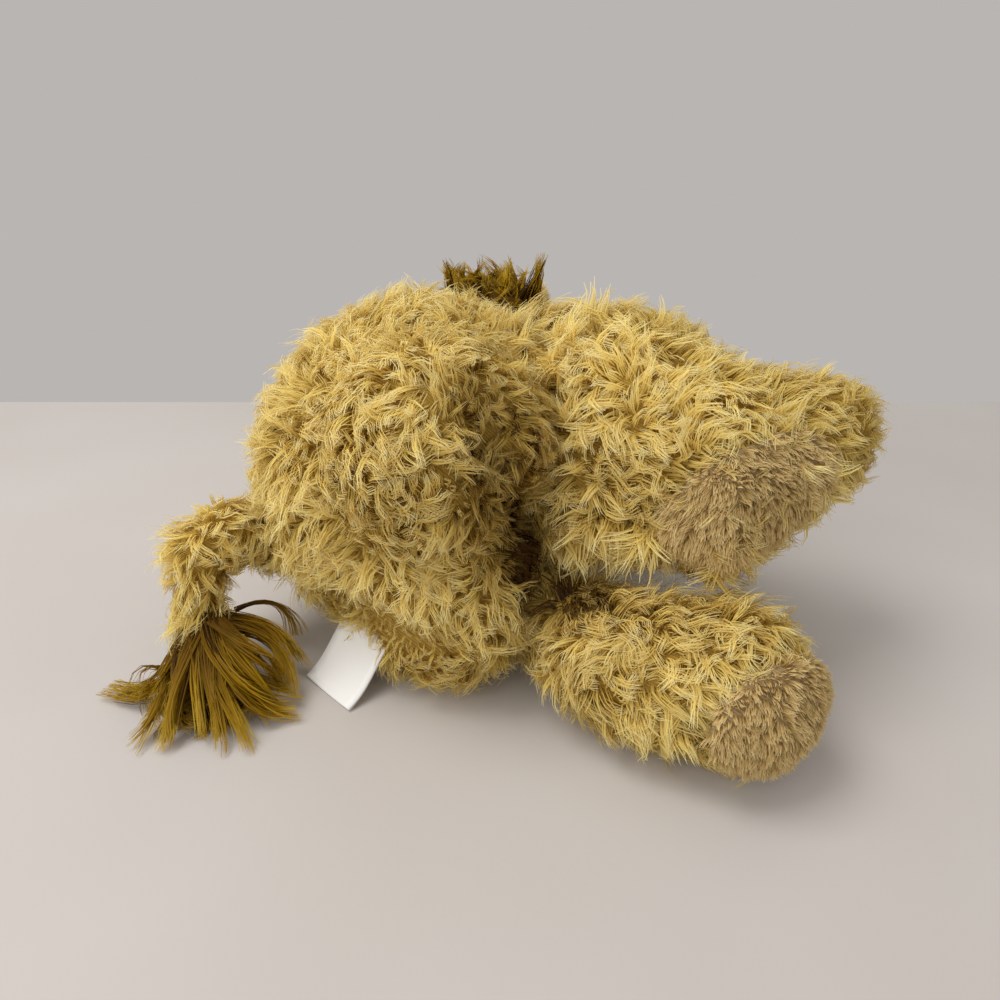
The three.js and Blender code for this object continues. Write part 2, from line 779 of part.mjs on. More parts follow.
const tail = {
  form: tailForm,
  joint: tailJoint,
  outward: tailRoot.clone().sub(hipMiddle).normalize(),
  swing: tailSwing,
  rootRadius: tailRootRadius,
};

const tailPart = addPart('tail', tailJoint, tailSwing);
const tailMouth = bar(tailRoot, tail.outward.clone().negate(), tailMouthDiameter / 2, tailGirth);
const tailSkin = limbSolid(tail, 0).subtract(limbSolid(tail, tailSkinDepth)).subtract(tailMouth);
addPiece(tailPart, 'tail_skin', tailSkin, straw);
addPiece(tailPart, 'tail_filling', limbSolid(tail, tailSkinDepth + seamGap), stuffingWhite);

// Each row: shares of the tuft's length forward and down the lion, then of its height at the
// middle and of half of it, then of half its spread. Where the third is null it lies on the table.
const tuftShares = [
  [0.02, 0.02, 1.05, 1.6, 0.45],
  [0.05, 0.25, 0.75, 1.4, 0.75],
  [0.07, 0.52, null, 0.9, 1],
  [0.05, 0.78, null, 0.5, 0.85],
];
const tuftStartShare = 0.2;
const tuftEndShare = 0.22;
const tuftForm = {
  stations: tuftShares.map(([forward, downward, middleShare, deepShare, spreadShare]) => {
    const deep = (tuftHeight / 2) * deepShare;
    const height = middleShare === null ? deep - restCut : tuftHeight * middleShare;
    return {
      at: new THREE.Vector3(
        tailEnd.at.x + tuftLength * forward,
        tailEnd.at.y - tuftLength * downward,
        height,
      ),
      across: (tuftSpread / 2) * spreadShare,
      deep,
    };
  }),
  startDome: tuftLength * tuftStartShare,
  endDome: tuftLength * tuftEndShare,
};
// The tuft turns about an upright axis, so the room for the tail's end is round about it.
const tuft = stuffedForm(tuftForm)
  .subtract(socket(tailEnd.at, tailEnd.deep + 3 * seamGap))
  .subtract(bar(tailEnd.at, up, tailRootRadius, tuftHeight))
  .subtract(underTable);
const tuftPart = addPart('tuft', tuftJoint, tuftSwing);
addPiece(tuftPart, 'tail_tuft', tuft, mustard);

// Care label: a folded satin strip from under the left haunch down to the table

// Shares of the hips' half breadth and of the haunch's drop, where its seam is.
const labelSeamShares = [-0.27, -1.02];
const labelSlopeShare = 0.3; // how far it falls for each step outwards, as it leaves the torso
const labelTurnShare = 0.96; // how far it turns backwards for each step down the lion
const labelSeam = new THREE.Vector3(
  (hipBreadth / 2) * labelSeamShares[0],
  haunchDrop * labelSeamShares[1],
  labelHeight,
);
const labelOut = down.clone().addScaledVector(front, -labelTurnShare).normalize();
const labelAcross = new THREE.Vector3().crossVectors(labelOut, up).normalize();
const labelRun = Math.sqrt(labelLength ** 2 - labelHeight ** 2);
// How it droops: shares of its run outwards and of its seam's height. Its sewn end starts inside.
const labelDroopShares = [
  [-0.3, 1.3],
  [0.3, 0.95],
  [0.6, 0.25],
];
const labelCurve = new THREE.CubicBezierCurve(
  ...labelDroopShares.map(
    ([out, heightShare]) => new THREE.Vector2(labelRun * out, labelHeight * heightShare),
  ),
  new THREE.Vector2(labelRun, seamGap),
);
const labelSteps = 8;
const labelOutline = (() => {
  const under = labelCurve.getPoints(labelSteps);
  const over = under.map((point, i) => {
    const tangent = labelCurve.getTangent(i / labelSteps);
    return new THREE.Vector2(point.x - tangent.y * labelThickness, point.y + tangent.x * labelThickness);
  });
  return new THREE.Shape([...under, ...over.reverse()]);
})();
const labelStrip = (() => {
  const geometry = new THREE.ExtrudeGeometry(labelOutline, { depth: labelWidth, bevelEnabled: false });
  geometry.translate(0, 0, -labelWidth / 2);
  geometry.applyMatrix4(new THREE.Matrix4().makeBasis(labelOut, up, labelAcross));
  geometry.translate(labelSeam.x, labelSeam.y, 0);
  return toSolid(geometry);
})();
const labelFold = labelSeam.clone().addScaledVector(labelOut, labelTuck);
labelFold.z = labelHeight - labelTuck * labelSlopeShare;
const labelJoint = { at: labelFold, axis: labelAcross };
const labelPart = addPart('label', labelJoint, labelSwing);
const careLabel = clearOf(labelStrip, torsoSolid(-seamGap), labelJoint, labelSwing)
  .subtract(underTable);
addPiece(labelPart, 'care_label', careLabel, labelWhite, satinRoughness);

// The part stands on the middle of its own box's bottom.
const box = new THREE.Box3().setFromObject(group);
const middle = box.getCenter(new THREE.Vector3());
group.position.set(-middle.x, -middle.y, -box.min.z);

export default group;
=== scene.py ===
# %% [markdown]
# # A shaggy plush lion
# The toy lies on its left side on a table, with its soles towards us. Its looks are nearly all
# fur: long wavy straw pile on the body, short taupe pile on the soles, and long brown and mustard
# hair in the mane and the tail's tuft. This lesson first builds the stuffed cloth under the fur,
# then makes a few small locks of fur and sews thousands of copies of them onto the cloth.

import math

import bmesh
import bpy
import numpy as np
from mathutils import Matrix, Vector, noise
from mathutils.bvhtree import BVHTree
from mathutils.geometry import interpolate_bezier
from mathutils.kdtree import KDTree


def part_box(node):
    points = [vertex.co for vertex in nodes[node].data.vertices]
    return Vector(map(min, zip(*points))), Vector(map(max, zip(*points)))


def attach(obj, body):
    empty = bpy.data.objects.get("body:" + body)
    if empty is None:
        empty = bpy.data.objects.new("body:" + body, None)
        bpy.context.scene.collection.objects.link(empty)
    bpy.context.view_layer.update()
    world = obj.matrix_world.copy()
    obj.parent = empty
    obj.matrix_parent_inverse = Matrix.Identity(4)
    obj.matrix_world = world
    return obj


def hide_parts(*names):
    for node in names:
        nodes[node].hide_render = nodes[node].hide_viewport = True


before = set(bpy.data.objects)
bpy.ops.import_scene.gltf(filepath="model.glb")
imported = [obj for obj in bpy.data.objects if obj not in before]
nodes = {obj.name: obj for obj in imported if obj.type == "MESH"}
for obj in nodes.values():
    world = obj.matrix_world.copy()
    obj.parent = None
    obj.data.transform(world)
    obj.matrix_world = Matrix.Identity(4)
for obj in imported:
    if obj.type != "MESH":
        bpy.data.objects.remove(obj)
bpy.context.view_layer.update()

# %% [markdown]
# The toy was designed in millimetres from the middle of its hips: x towards its front, y up its
# back and z up from the table. Places are easiest to read that way, so one function turns them
# into places in the frame.

# %% Places
HIPS_FROM_CORNER = (0.0749, 0.09004)  # of the torso's own box
torso_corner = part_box("torso_skin")[0]


def here(x, y, z):
    """A place given in millimetres from the table under the middle of the hips, in metres."""
    return Vector(
        (
            torso_corner.x + HIPS_FROM_CORNER[0] + x / 1000,
            torso_corner.y + HIPS_FROM_CORNER[1] + y / 1000,
            z / 1000,
        )
    )


# %% [markdown]
# The photograph looks down at the toy from in front of its soles, from about the height of a
# hand held over the table. The lens is as wide as a phone's.

# %% The camera
CAMERA_PLACE = here(36, -330, 242)
CAMERA_TILT = math.radians(61.5)
camera_data = bpy.data.cameras.new("camera")
camera_data.lens = 28.08
camera_data.sensor_width = 36
camera_data.clip_start = 0.01
camera = bpy.data.objects.new("camera", camera_data)
camera.location = CAMERA_PLACE
camera.rotation_euler = (CAMERA_TILT, 0, 0)
bpy.context.scene.collection.objects.link(camera)
bpy.context.scene.camera = camera
bpy.context.scene.view_settings.view_transform = "Standard"

# %% [markdown]
# Colours are written as sRGB hex values, the way a colour picker shows them, while Blender's
# shaders work in linear light. One function turns the one into the other. A second function adds
# a node, sets what it is given and links what is a link. Most materials below start with a
# texture that a ramp colours and end in a principled shader, so both have a function too.

# %% Colours and nodes
def linear(hex_colour, alpha=1.0):
    """An sRGB hex colour as linear red, green, blue and alpha."""
    channels = [int(hex_colour[i : i + 2], 16) / 255 for i in (1, 3, 5)]
    bright = [c / 12.92 if c <= 0.04045 else ((c + 0.055) / 1.055) ** 2.4 for c in channels]
    return (*bright, alpha)


def new_material(name):
    """A material with an empty node tree."""
    material = bpy.data.materials.new(name)
    material.use_nodes = True
    material.node_tree.nodes.clear()
    return material


def add(material, kind, inputs=(), stops=(), **settings):
    """Adds one node. An input is a value or another node's output, and stops are a ramp's."""
    tree = material.node_tree
    node = tree.nodes.new("ShaderNode" + kind)
    for key, value in settings.items():
        setattr(node, key, value)
    for key, value in dict(inputs).items():
        if isinstance(value, bpy.types.NodeSocket):
            tree.links.new(value, node.inputs[key])
        else:
            node.inputs[key].default_value = value
    for i, (place, colour) in enumerate(stops):
        marks = node.color_ramp.elements
        mark = marks[i] if i < len(marks) else marks.new(place)
        mark.position = place
        mark.color = linear(colour)
    return node


def tinted(material, kind, inputs, stops, **settings):
    """A texture in a piece's own space: its pattern, and the colours that a ramp gives it."""
    place = add(material, "TexCoord")
    texture = add(material, kind, {"Vector": place.outputs["Object"], **inputs}, **settings)
    ramp = add(material, "ValToRGB", {"Fac": texture.outputs["Fac"]}, stops)
    return texture.outputs["Fac"], ramp.outputs["Color"]


def principled(material, inputs):
    """Ends a material in one principled shader."""
    shader = add(material, "BsdfPrincipled", inputs)
    add(material, "OutputMaterial", {"Surface": shader.outputs["BSDF"]})
    return material


# %% [markdown]
# The floor is a plain pale table top, with a trace of mottling so that it doesn't look like
# paper. Behind it lies a flat sheet of the wall's pale grey, at one even level to the camera.

# %% The floor
def plain_paint(name, colour, darker):
    """Matt paint with a very faint mottling, a hand's breadth wide."""
    paint = new_material(name)
    stops = [(0.3, darker), (0.7, colour)]
    _, tint = tinted(paint, "TexNoise", {"Scale": 6.0, "Detail": 2.0}, stops)
    return principled(paint, {"Base Color": tint, "Roughness": 0.7})


def floor_sheet(name, low, high, height, paint):
    """A flat rectangle of the surroundings, from one corner to the other."""
    shape = bmesh.new()
    bmesh.ops.create_grid(shape, x_segments=1, y_segments=1, size=0.5)
    bmesh.ops.scale(shape, vec=(high[0] - low[0], high[1] - low[1], 1), verts=shape.verts)
    middle = ((low[0] + high[0]) / 2, (low[1] + high[1]) / 2, height)
    bmesh.ops.translate(shape, vec=middle, verts=shape.verts)
    mesh = bpy.data.meshes.new(name)
    shape.to_mesh(mesh)
    shape.free()
    mesh.materials.append(paint)
    sheet = bpy.data.objects.new(name, mesh)
    bpy.context.scene.collection.objects.link(sheet)


WALL_COLOUR = "#b9b5b3"


def bright_sheet(name, colour):
    """A sheet that the camera sees at one even level, however far away it is."""
    paper = new_material(name)
    ray = add(paper, "LightPath")
    matt = add(paper, "BsdfDiffuse", {"Color": linear(colour)})
    glow = add(paper, "Emission", {"Color": linear(colour), "Strength": 1.0})
    sides = {0: ray.outputs["Is Camera Ray"], 1: matt.outputs[0], 2: glow.outputs[0]}
    both = add(paper, "MixShader", sides)
    add(paper, "OutputMaterial", {"Surface": both.outputs[0]})
    return paper


TABLE_EDGE = 0.235  # how far behind the toy's middle the wall's sheet starts
TABLE_WIDE = 3.0
FAR_AWAY = 60.0
floor_sheet(
    "table_top", (-TABLE_WIDE, -TABLE_WIDE), (TABLE_WIDE, TABLE_EDGE), 0,
    plain_paint("table_paint", "#c7c1bc", "#c2bbb5"),
)
floor_sheet(
    "wall_sheet", (-FAR_AWAY, TABLE_EDGE), (FAR_AWAY, FAR_AWAY), 0,
    bright_sheet("wall_paper", WALL_COLOUR),
)

# %% [markdown]
# A soft light from above and a little to the left draws the toy's gentle shadow to the right. An
# even sky fills the rest in, at a level at which colours render about as they are written.

# %% The light
def soft_lamp(name, place, target, size, watts):
    """A square soft box that looks at a point."""
    light = bpy.data.lights.new(name, "AREA")
    light.shape = "SQUARE"
    light.size = size
    light.energy = watts
    lamp = bpy.data.objects.new(name, light)
    lamp.location = place
    aim = Vector(target) - Vector(place)
    lamp.rotation_euler = aim.to_track_quat("-Z", "Y").to_euler()
    bpy.context.scene.collection.objects.link(lamp)


TOY_MIDDLE = (0, -0.05, 0.06)
soft_lamp("ceiling_light", (-0.45, -0.2, 1.2), TOY_MIDDLE, 0.6, 7.5)
soft_lamp("window_light", (-0.9, -0.9, 0.8), TOY_MIDDLE, 0.9, 6.0)

sky = bpy.data.worlds.new("sky")
bpy.context.scene.world = sky
sky.use_nodes = True
sky.node_tree.nodes.clear()
daylight = add(sky, "Background", {"Color": linear("#f4f2f0"), "Strength": 0.64})
wall_colour = add(sky, "Background", {"Color": linear(WALL_COLOUR), "Strength": 1.0})
ray = add(sky, "LightPath")
rays = {0: ray.outputs["Is Camera Ray"], 1: ray.outputs["Is Glossy Ray"]}
seen = add(sky, "Math", rays, operation="MAXIMUM")
sides = {0: seen.outputs[0], 1: daylight.outputs[0], 2: wall_colour.outputs[0]}
mixed_sky = add(sky, "MixShader", sides)
add(sky, "OutputWorld", {"Surface": mixed_sky.outputs[0]})

# %% [markdown]
# Plush is a knitted backing with fibres standing in it. Between the locks a little of that backing
# shows, so it is a warm brown gold with the fine ribs of the knit, kept dark as painted shade
# between the locks. It could be a plain colour, but the thin places beside a seam would then look
# painted. The ribs are drawn 0.9 mm apart, a little coarser than real ones, so that they show
# there.

# %% Knitted backing cloth
RIB = 0.0009  # from one rib of the knit to the next
RIB_HEIGHT = 0.0003


def bands(period):
    """The scale at which a wave texture repeats once in a period, in metres."""
    return 2 * math.pi / (20 * period)


def knitted_backing(name, light, dark):
    """The knit that the pile stands in: fine ribs, a rough matt surface."""
    cloth = new_material(name)
    ribs, tint = tinted(
        cloth, "TexWave", {"Scale": bands(RIB), "Distortion": 2.0, "Detail": 2.0},
        [(0.2, dark), (0.8, light)], bands_direction="DIAGONAL",
    )
    bump = add(cloth, "Bump", {"Height": ribs, "Strength": 0.25, "Distance": RIB_HEIGHT})
    matt = {"Roughness": 0.95, "Specular IOR Level": 0.1}
    return principled(cloth, {"Base Color": tint, "Normal": bump.outputs["Normal"], **matt})


# The straw backing's dark gold is partly the knit's own colour and partly painted shade between the
# locks.
straw_backing = knitted_backing("knitted_polyester_straw", "#a8883e", "#8e7030")
taupe_backing = knitted_backing("knitted_polyester_taupe", "#a89068", "#927b56")
nose_cloth = knitted_backing("brushed_nose_cloth", "#4a2f1c", "#34200f")
mane_backing = knitted_backing("knitted_polyester_brown", "#5a3f10", "#3a270b")
cream_backing = knitted_backing("knitted_polyester_cream", "#cdb685", "#ab935f")

# %% [markdown]
# The fibres are dyed polyester. Each strand carries its own UV map: u is its tone, the same from
# end to end, and v runs from its root to its tip. So one material can shade every strand from a
# dark root to a pale tip and still tell thousands of them apart. The dark root is partly painted
# shade of the deep pile, and the pale tip is partly a painted highlight. The lowest tones are
# darkened further, as painted shade deep in a seam. The map is called OFBake. A fine fibre lets
# much of the light through, so a translucent shader is mixed in: it is what makes fur look soft
# instead of like straw.

# %% Dyed pile
THROUGH = 0.4  # the share of the light that goes through a strand
SEAM_SHADE = "#5c3d1c"  # what the lowest tones are multiplied by: painted shade on the pile deep in a seam


def dyed_pile(name, deep, pale):
    """Polyester pile: two runs of colour from root to tip, mixed by each strand's own tone.

    On a Mix node input 0 is the share, and 6 and 7 are the two colours."""
    pile = new_material(name)
    strand = add(pile, "UVMap", uv_map="OFBake")
    parts = add(pile, "SeparateXYZ", {0: strand.outputs["UV"]})
    deep_run = add(pile, "ValToRGB", {"Fac": parts.outputs["Y"]}, deep)
    pale_run = add(pile, "ValToRGB", {"Fac": parts.outputs["Y"]}, pale)
    mixed = add(
        pile,
        "Mix",
        {0: parts.outputs["X"], 6: deep_run.outputs["Color"], 7: pale_run.outputs["Color"]},
        data_type="RGBA",
    )
    # Painted shade: the lowest tones, which the trims give the pile deep in a seam, are multiplied
    # by a dark brown.
    painted_seam_shade = add(pile, "ValToRGB", {"Fac": parts.outputs["X"]}, [(0.0, SEAM_SHADE), (0.2, "#ffffff")])
    mixed = add(
        pile,
        "Mix",
        {0: 1.0, 6: mixed.outputs[2], 7: painted_seam_shade.outputs["Color"]},
        data_type="RGBA",
        blend_type="MULTIPLY",
    )
    fibre = {"Base Color": mixed.outputs[2], "Roughness": 0.55, "Specular IOR Level": 0.2}
    shader = add(pile, "BsdfPrincipled", fibre)
    glow = add(pile, "BsdfTranslucent", {"Color": mixed.outputs[2]})
    both = add(pile, "MixShader", {0: THROUGH, 1: shader.outputs[0], 2: glow.outputs[0]})
    add(pile, "OutputMaterial", {"Surface": both.outputs[0]})
    return pile


# In each run the dark root is partly painted shade of the deep pile, and the pale tip partly a
# painted highlight.
straw_pile = dyed_pile(
    "straw_polyester_pile",
    [(0.0, "#86682a"), (0.3, "#b5923f"), (0.65, "#d2b055"), (1.0, "#e2c674")],
    [(0.0, "#dcba58"), (0.3, "#f5db79"), (0.65, "#fdea97"), (1.0, "#fff6c2")],
)
taupe_pile = dyed_pile(
    "taupe_polyester_pile",
    [(0.0, "#957945"), (0.5, "#c4a262"), (1.0, "#e2c483")],
    [(0.0, "#b2955a"), (0.5, "#e8c985"), (1.0, "#fbeab4")],
)
mane_hair = dyed_pile(
    "mane_acrylic_hair",
    [(0.0, "#40230b"), (0.35, "#62400c"), (0.7, "#8a650c"), (1.0, "#a58012")],
    [(0.0, "#7c5810"), (0.35, "#b38a14"), (0.7, "#d6ae24"), (1.0, "#e6c848")],
)
cream_pile = dyed_pile(
    "cream_polyester_pile",
    [(0.0, "#b0935a"), (0.5, "#dcc48e"), (1.0, "#efdfb6")],
    [(0.0, "#c9af78"), (0.5, "#f1e2bb"), (1.0, "#fdf6e2")],
)

# %% [markdown]
# Every stuffed part starts as a copy of its CAD skin and filling. A voxel remesh melts these into
# one closed skin of even squares, and only its outer shell is kept. It is then smoothed, because
# the CAD form has flat facets, and drawn in a little: the pile stands on it and fills it out again.

# %% Stuffed forms
FLOOR_CLEARANCE = 0.0012
MERGE = 0.00001  # points closer than this are one point
SMOOTHING = 0.5  # how far one round of smoothing moves a point towards its neighbours' middle


def put_mesh(name, shape, material=None):
    """Makes an object of a bmesh, which ends here."""
    mesh = bpy.data.meshes.new(name)
    shape.to_mesh(mesh)
    shape.free()
    if material:
        mesh.materials.append(material)
    piece = bpy.data.objects.new(name, mesh)
    bpy.context.scene.collection.objects.link(piece)
    return piece


def apply_modifiers(piece):
    """Replaces a piece's mesh by what its modifiers make of it."""
    graph = bpy.context.evaluated_depsgraph_get()
    made = bpy.data.meshes.new_from_object(piece.evaluated_get(graph))
    piece.modifiers.clear()
    piece.data = made


def keep_outer_shell(shape):
    """Removes every shell but the one with the most faces round the outside."""
    waiting = set(shape.verts)
    shells = []
    while waiting:
        shell = set()
        edge_of_search = [waiting.pop()]
        while edge_of_search:
            vert = edge_of_search.pop()
            shell.add(vert)
            near = {edge.other_vert(vert) for edge in vert.link_edges} & waiting
            waiting -= near
            edge_of_search.extend(near)
        shells.append(shell)
    outer = max(shells, key=lambda shell: max(v.co.z for v in shell) - min(v.co.z for v in shell))
    lost = [vert for shell in shells if shell is not outer for vert in shell]
    bmesh.ops.delete(shape, geom=lost, context="VERTS")


def stuffed_form(name, cad_names, voxel, inset, rounds, material):
    """A closed, smooth cloth form round CAD nodes, inset metres inside their outer face."""
    shape = bmesh.new()
    for cad_name in cad_names:
        shape.from_mesh(nodes[cad_name].data)
    bmesh.ops.remove_doubles(shape, verts=shape.verts, dist=MERGE)
    piece = put_mesh(name, shape)
    remesh = piece.modifiers.new("Remesh", "REMESH")
    remesh.mode = "VOXEL"
    remesh.voxel_size = voxel
    apply_modifiers(piece)
    shape = bmesh.new()
    shape.from_mesh(piece.data)
    keep_outer_shell(shape)
    for _ in range(rounds):
        bmesh.ops.smooth_vert(
            shape, verts=shape.verts, factor=SMOOTHING,
            use_axis_x=True, use_axis_y=True, use_axis_z=True,
        )
    shape.normal_update()
    for vert in shape.verts:
        vert.co -= vert.normal * inset
        vert.co.z = max(vert.co.z, FLOOR_CLEARANCE)
    shape.to_mesh(piece.data)
    shape.free()
    piece.data.materials.clear()
    piece.data.materials.append(material)
    print(name, len(piece.data.polygons), "faces")
    return piece


# %% [markdown]
# The parts differ in how thick their pile is, so each has its own inset. The voxels are 5 or 6 mm
# on the torso, the head and the legs, and finer on the small parts. Each row is a body, its CAD
# nodes, the voxel, the inset and the rounds of smoothing.

# %% The cloth under the fur
CLOTHS = {
    "torso_cloth": ("torso", ["torso_skin", "torso_filling", "pellet_pouch"], 0.006, 0.0045, 5),
    "right_leg_cloth": ("right_leg", ["right_leg_skin", "right_leg_filling"], 0.005, 0.0055, 5),
    "left_leg_cloth": ("left_leg", ["left_leg_skin", "left_leg_filling"], 0.005, 0.008, 5),
    "right_arm_cloth": ("right_arm", ["right_arm_skin", "right_arm_filling"], 0.004, 0.0045, 4),
    "left_arm_cloth": ("left_arm", ["left_arm_skin", "left_arm_filling"], 0.004, 0.0045, 4),
    "head_cloth": ("head", ["head_skin", "head_filling"], 0.006, 0.004, 4),
    "tail_cloth": ("tail", ["tail_skin", "tail_filling"], 0.0035, 0.0045, 4),
}
cloths = {}
for name, (body, cad_names, voxel, inset, rounds) in CLOTHS.items():
    cloths[name] = stuffed_form(name, cad_names, voxel, inset, rounds, straw_backing)

# %% [markdown]
# A few seconds of cloth simulation then stuff the parts: each skin is blown up from inside like a
# pillow, without gravity, and how far a point may move is capped. That rounds the forms the way
# packed fibre does, and the copy keeps no trace of the simulation but its new shape.

# %% Stuffing
PRESSURE = 4.0
LAST_FRAME = 20
SWELL_CAP = 0.006


def points_of(mesh):
    """A mesh's vertex places as an array."""
    flat = np.zeros(len(mesh.vertices) * 3)
    mesh.vertices.foreach_get("co", flat)
    return flat.reshape(-1, 3)


def stuff(pieces):
    """Swells closed cloths with pressure, and caps how far each point moves."""
    for piece in pieces:
        cloth = piece.modifiers.new("Cloth", "CLOTH")
        cloth.settings.quality = 5
        cloth.settings.mass = 0.3
        cloth.settings.use_pressure = True
        cloth.settings.uniform_pressure_force = PRESSURE
        cloth.settings.effector_weights.gravity = 0
        cloth.point_cache.frame_start = 1
        cloth.point_cache.frame_end = LAST_FRAME
    for step in range(1, LAST_FRAME + 1):
        bpy.context.scene.frame_set(step)
    graph = bpy.context.evaluated_depsgraph_get()
    for piece in pieces:
        swollen = points_of(piece.evaluated_get(graph).data)
        start = points_of(piece.data)
        move = swollen - start
        far = np.linalg.norm(move, axis=1, keepdims=True)
        move *= np.minimum(1, SWELL_CAP / np.maximum(far, 1e-9))
        stuffed = start + move
        stuffed[:, 2] = np.maximum(stuffed[:, 2], FLOOR_CLEARANCE)
        piece.modifiers.clear()
        piece.data.vertices.foreach_set("co", stuffed.ravel())
        piece.data.update()
        print(piece.name, "swelled by up to", round(float(far.max()) * 1000, 1), "mm")
    bpy.context.scene.frame_set(1)


stuff(list(cloths.values()))

# %% [markdown]
# Beside the upper leg the torso's cloth is drawn in by its seam, which leaves the deep dark crease
# that runs down the middle of the photograph. It is drawn in a little above the label too. This
# could be sculpted by hand, but a line of places can be moved and tried again: the points near it
# are pushed in, most of all on the line itself.

# %% The crease beside the leg
CREASE = [here(37, -73, 142), here(40, -77, 125), here(43, -77, 104), here(47, -66, 84)]
CREASE_WIDTH = 0.02
CREASE_DEPTH = 0.015
ABOVE_LABEL = [here(-32, -62, 40), here(-13, -80, 42), here(0, -85, 36)]
LABEL_SEAM_WIDTH = 0.03
LABEL_SEAM_DEPTH = 0.008


def far_from(points, line):
    """How far each point is from a line of places."""
    far = np.full(len(points), np.inf)
    for start, end in zip(np.array(line), np.array(line)[1:]):
        along = end - start
        share = np.clip((points - start) @ along / (along @ along), 0, 1)
        far = np.minimum(far, np.linalg.norm(points - start - share[:, None] * along, axis=1))
    return far


def press_crease(piece, line, width, depth):
    """Draws a cloth in along a line of places."""
    near = np.maximum(0, 1 - (far_from(points_of(piece.data), line) / width) ** 2) ** 2
    shape = bmesh.new()
    shape.from_mesh(piece.data)
    shape.normal_update()
    shape.verts.ensure_lookup_table()
    for i in np.flatnonzero(near):
        shape.verts[i].co -= shape.verts[i].normal * depth * near[i]
    shape.to_mesh(piece.data)
    shape.free()


press_crease(cloths["torso_cloth"], CREASE, CREASE_WIDTH, CREASE_DEPTH)
press_crease(cloths["torso_cloth"], ABOVE_LABEL, LABEL_SEAM_WIDTH, LABEL_SEAM_DEPTH)

# %% [markdown]
# One subdivision finishes each cloth. It rides on its CAD body and stands for the CAD skin and
# filling inside it, which are hidden.


def finish_cloth(piece, body, cad_names):
    """One subdivision and smooth shading for a cloth, which rides on its body and hides the CAD
    parts that it stands for.
    """
    subdivide = piece.modifiers.new("Subdivision", "SUBSURF")
    subdivide.levels = 1
    subdivide.render_levels = 1
    apply_modifiers(piece)
    for face in piece.data.polygons:
        face.use_smooth = True
    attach(piece, body)
    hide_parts(*cad_names)


for name, (body, cad_names, *_) in CLOTHS.items():
    finish_cloth(cloths[name], body, cad_names)

# %% [markdown]
# The soles, the paws' pads, the muzzle, the nose and the ears are small padded pieces. They are
# made in the same way, with finer voxels, and so are the cloths under the mane and the tuft. Each
# row is a body, its CAD node, the inset, the cloth and a name for its plush.

# %% The small padded pieces
SMALL = {
    "right_sole": ("right_leg", "right_sole_pad", 0.0005, taupe_backing, "sole_plush"),
    "left_sole": ("left_leg", "left_sole_pad", 0.0005, taupe_backing, "sole_plush"),
    "right_paw": ("right_arm", "right_paw_pad", 0.0005, taupe_backing, "sole_plush"),
    "left_paw": ("left_arm", "left_paw_pad", 0.0005, taupe_backing, "sole_plush"),
    "muzzle_cloth": ("head", "muzzle", 0.002, cream_backing, "cream_plush"),
    "right_ear_cloth": ("right_ear", "right_ear_back", 0.001, straw_backing, "straw_plush"),
    "left_ear_cloth": ("left_ear", "left_ear_back", 0.001, straw_backing, "straw_plush"),
    "right_ear_inside": ("right_ear", "right_ear_lining", 0.0002, cream_backing, "cream_plush"),
    "left_ear_inside": ("left_ear", "left_ear_lining", 0.0002, cream_backing, "cream_plush"),
    "nose_cloth": ("head", "nose", 0.0, nose_cloth, "nose_cloth"),
    "mane_cloth": ("head", "mane", 0.006, mane_backing, "mane_fur"),
    "tuft_cloth": ("tuft", "tail_tuft", 0.008, mane_backing, "mane_fur"),
}
USUAL_ROUNDS = 3
SMALL_ROUNDS = {"tuft_cloth": 14}
TUFT_ROOT = here(-84, -60, 0)
TUFT_CORE_SHARES = (0.7, 0.85, 0.85)  # of the tuft's form, what is cloth: the rest is hair
SMALL_VOXEL = 0.0025
BIG_VOXEL = 0.005
for name, (body, cad_name, inset, backing, slot) in SMALL.items():
    voxel = BIG_VOXEL if cad_name in ("mane", "tail_tuft") else SMALL_VOXEL
    rounds = SMALL_ROUNDS.get(name, USUAL_ROUNDS)
    cloths[name] = stuffed_form(name, [cad_name], voxel, inset, rounds, backing)
    if name == "tuft_cloth":
        shape = bmesh.new()
        shape.from_mesh(cloths[name].data)
        bmesh.ops.scale(
            shape, vec=TUFT_CORE_SHARES, space=Matrix.Translation(-TUFT_ROOT), verts=shape.verts
        )
        shape.to_mesh(cloths[name].data)
        shape.free()
    finish_cloth(cloths[name], body, [cad_name])

# %% [markdown]
# A lock is a flat bundle of strands that rise out of the backing side by side, bend over and curl
# together. Blender's hair would be the usual way, but these strands have to be a mesh that can be
# exported. Each strand starts as an edge across and is extruded along the lock's own bend. A lock
# has a few dozen faces, and a handful of different locks is enough: copies turned, stretched and
# toned at random never look alike. The shading normals of a strand lean towards the cloth's own
# direction, so that the fur is lit as one soft form and not as thousands of little blades.

# %% Locks of fur
LOCK_KINDS = 14
SOFTNESS = 1.5  # how much of the cloth's own direction a strand's shading normal takes
ROLL = 0.45  # how far strands are turned about their own length, in radians
STRAND_TONES = 0.09  # how far the tones of the strands in a lock differ
RISES, RESTS = 0.15, 0.12  # how far the slopes of the locks of one sort differ, in radians
SETTLING = 1.3  # how early along it a lock reaches its resting slope
WAVE_TURN = 5  # how far the wave of a lock turns from its root to its tip, in radians


def unit(rows):
    """Rows of vectors, each made one long."""
    return rows / np.maximum(np.linalg.norm(rows, axis=1, keepdims=True), 1e-9)


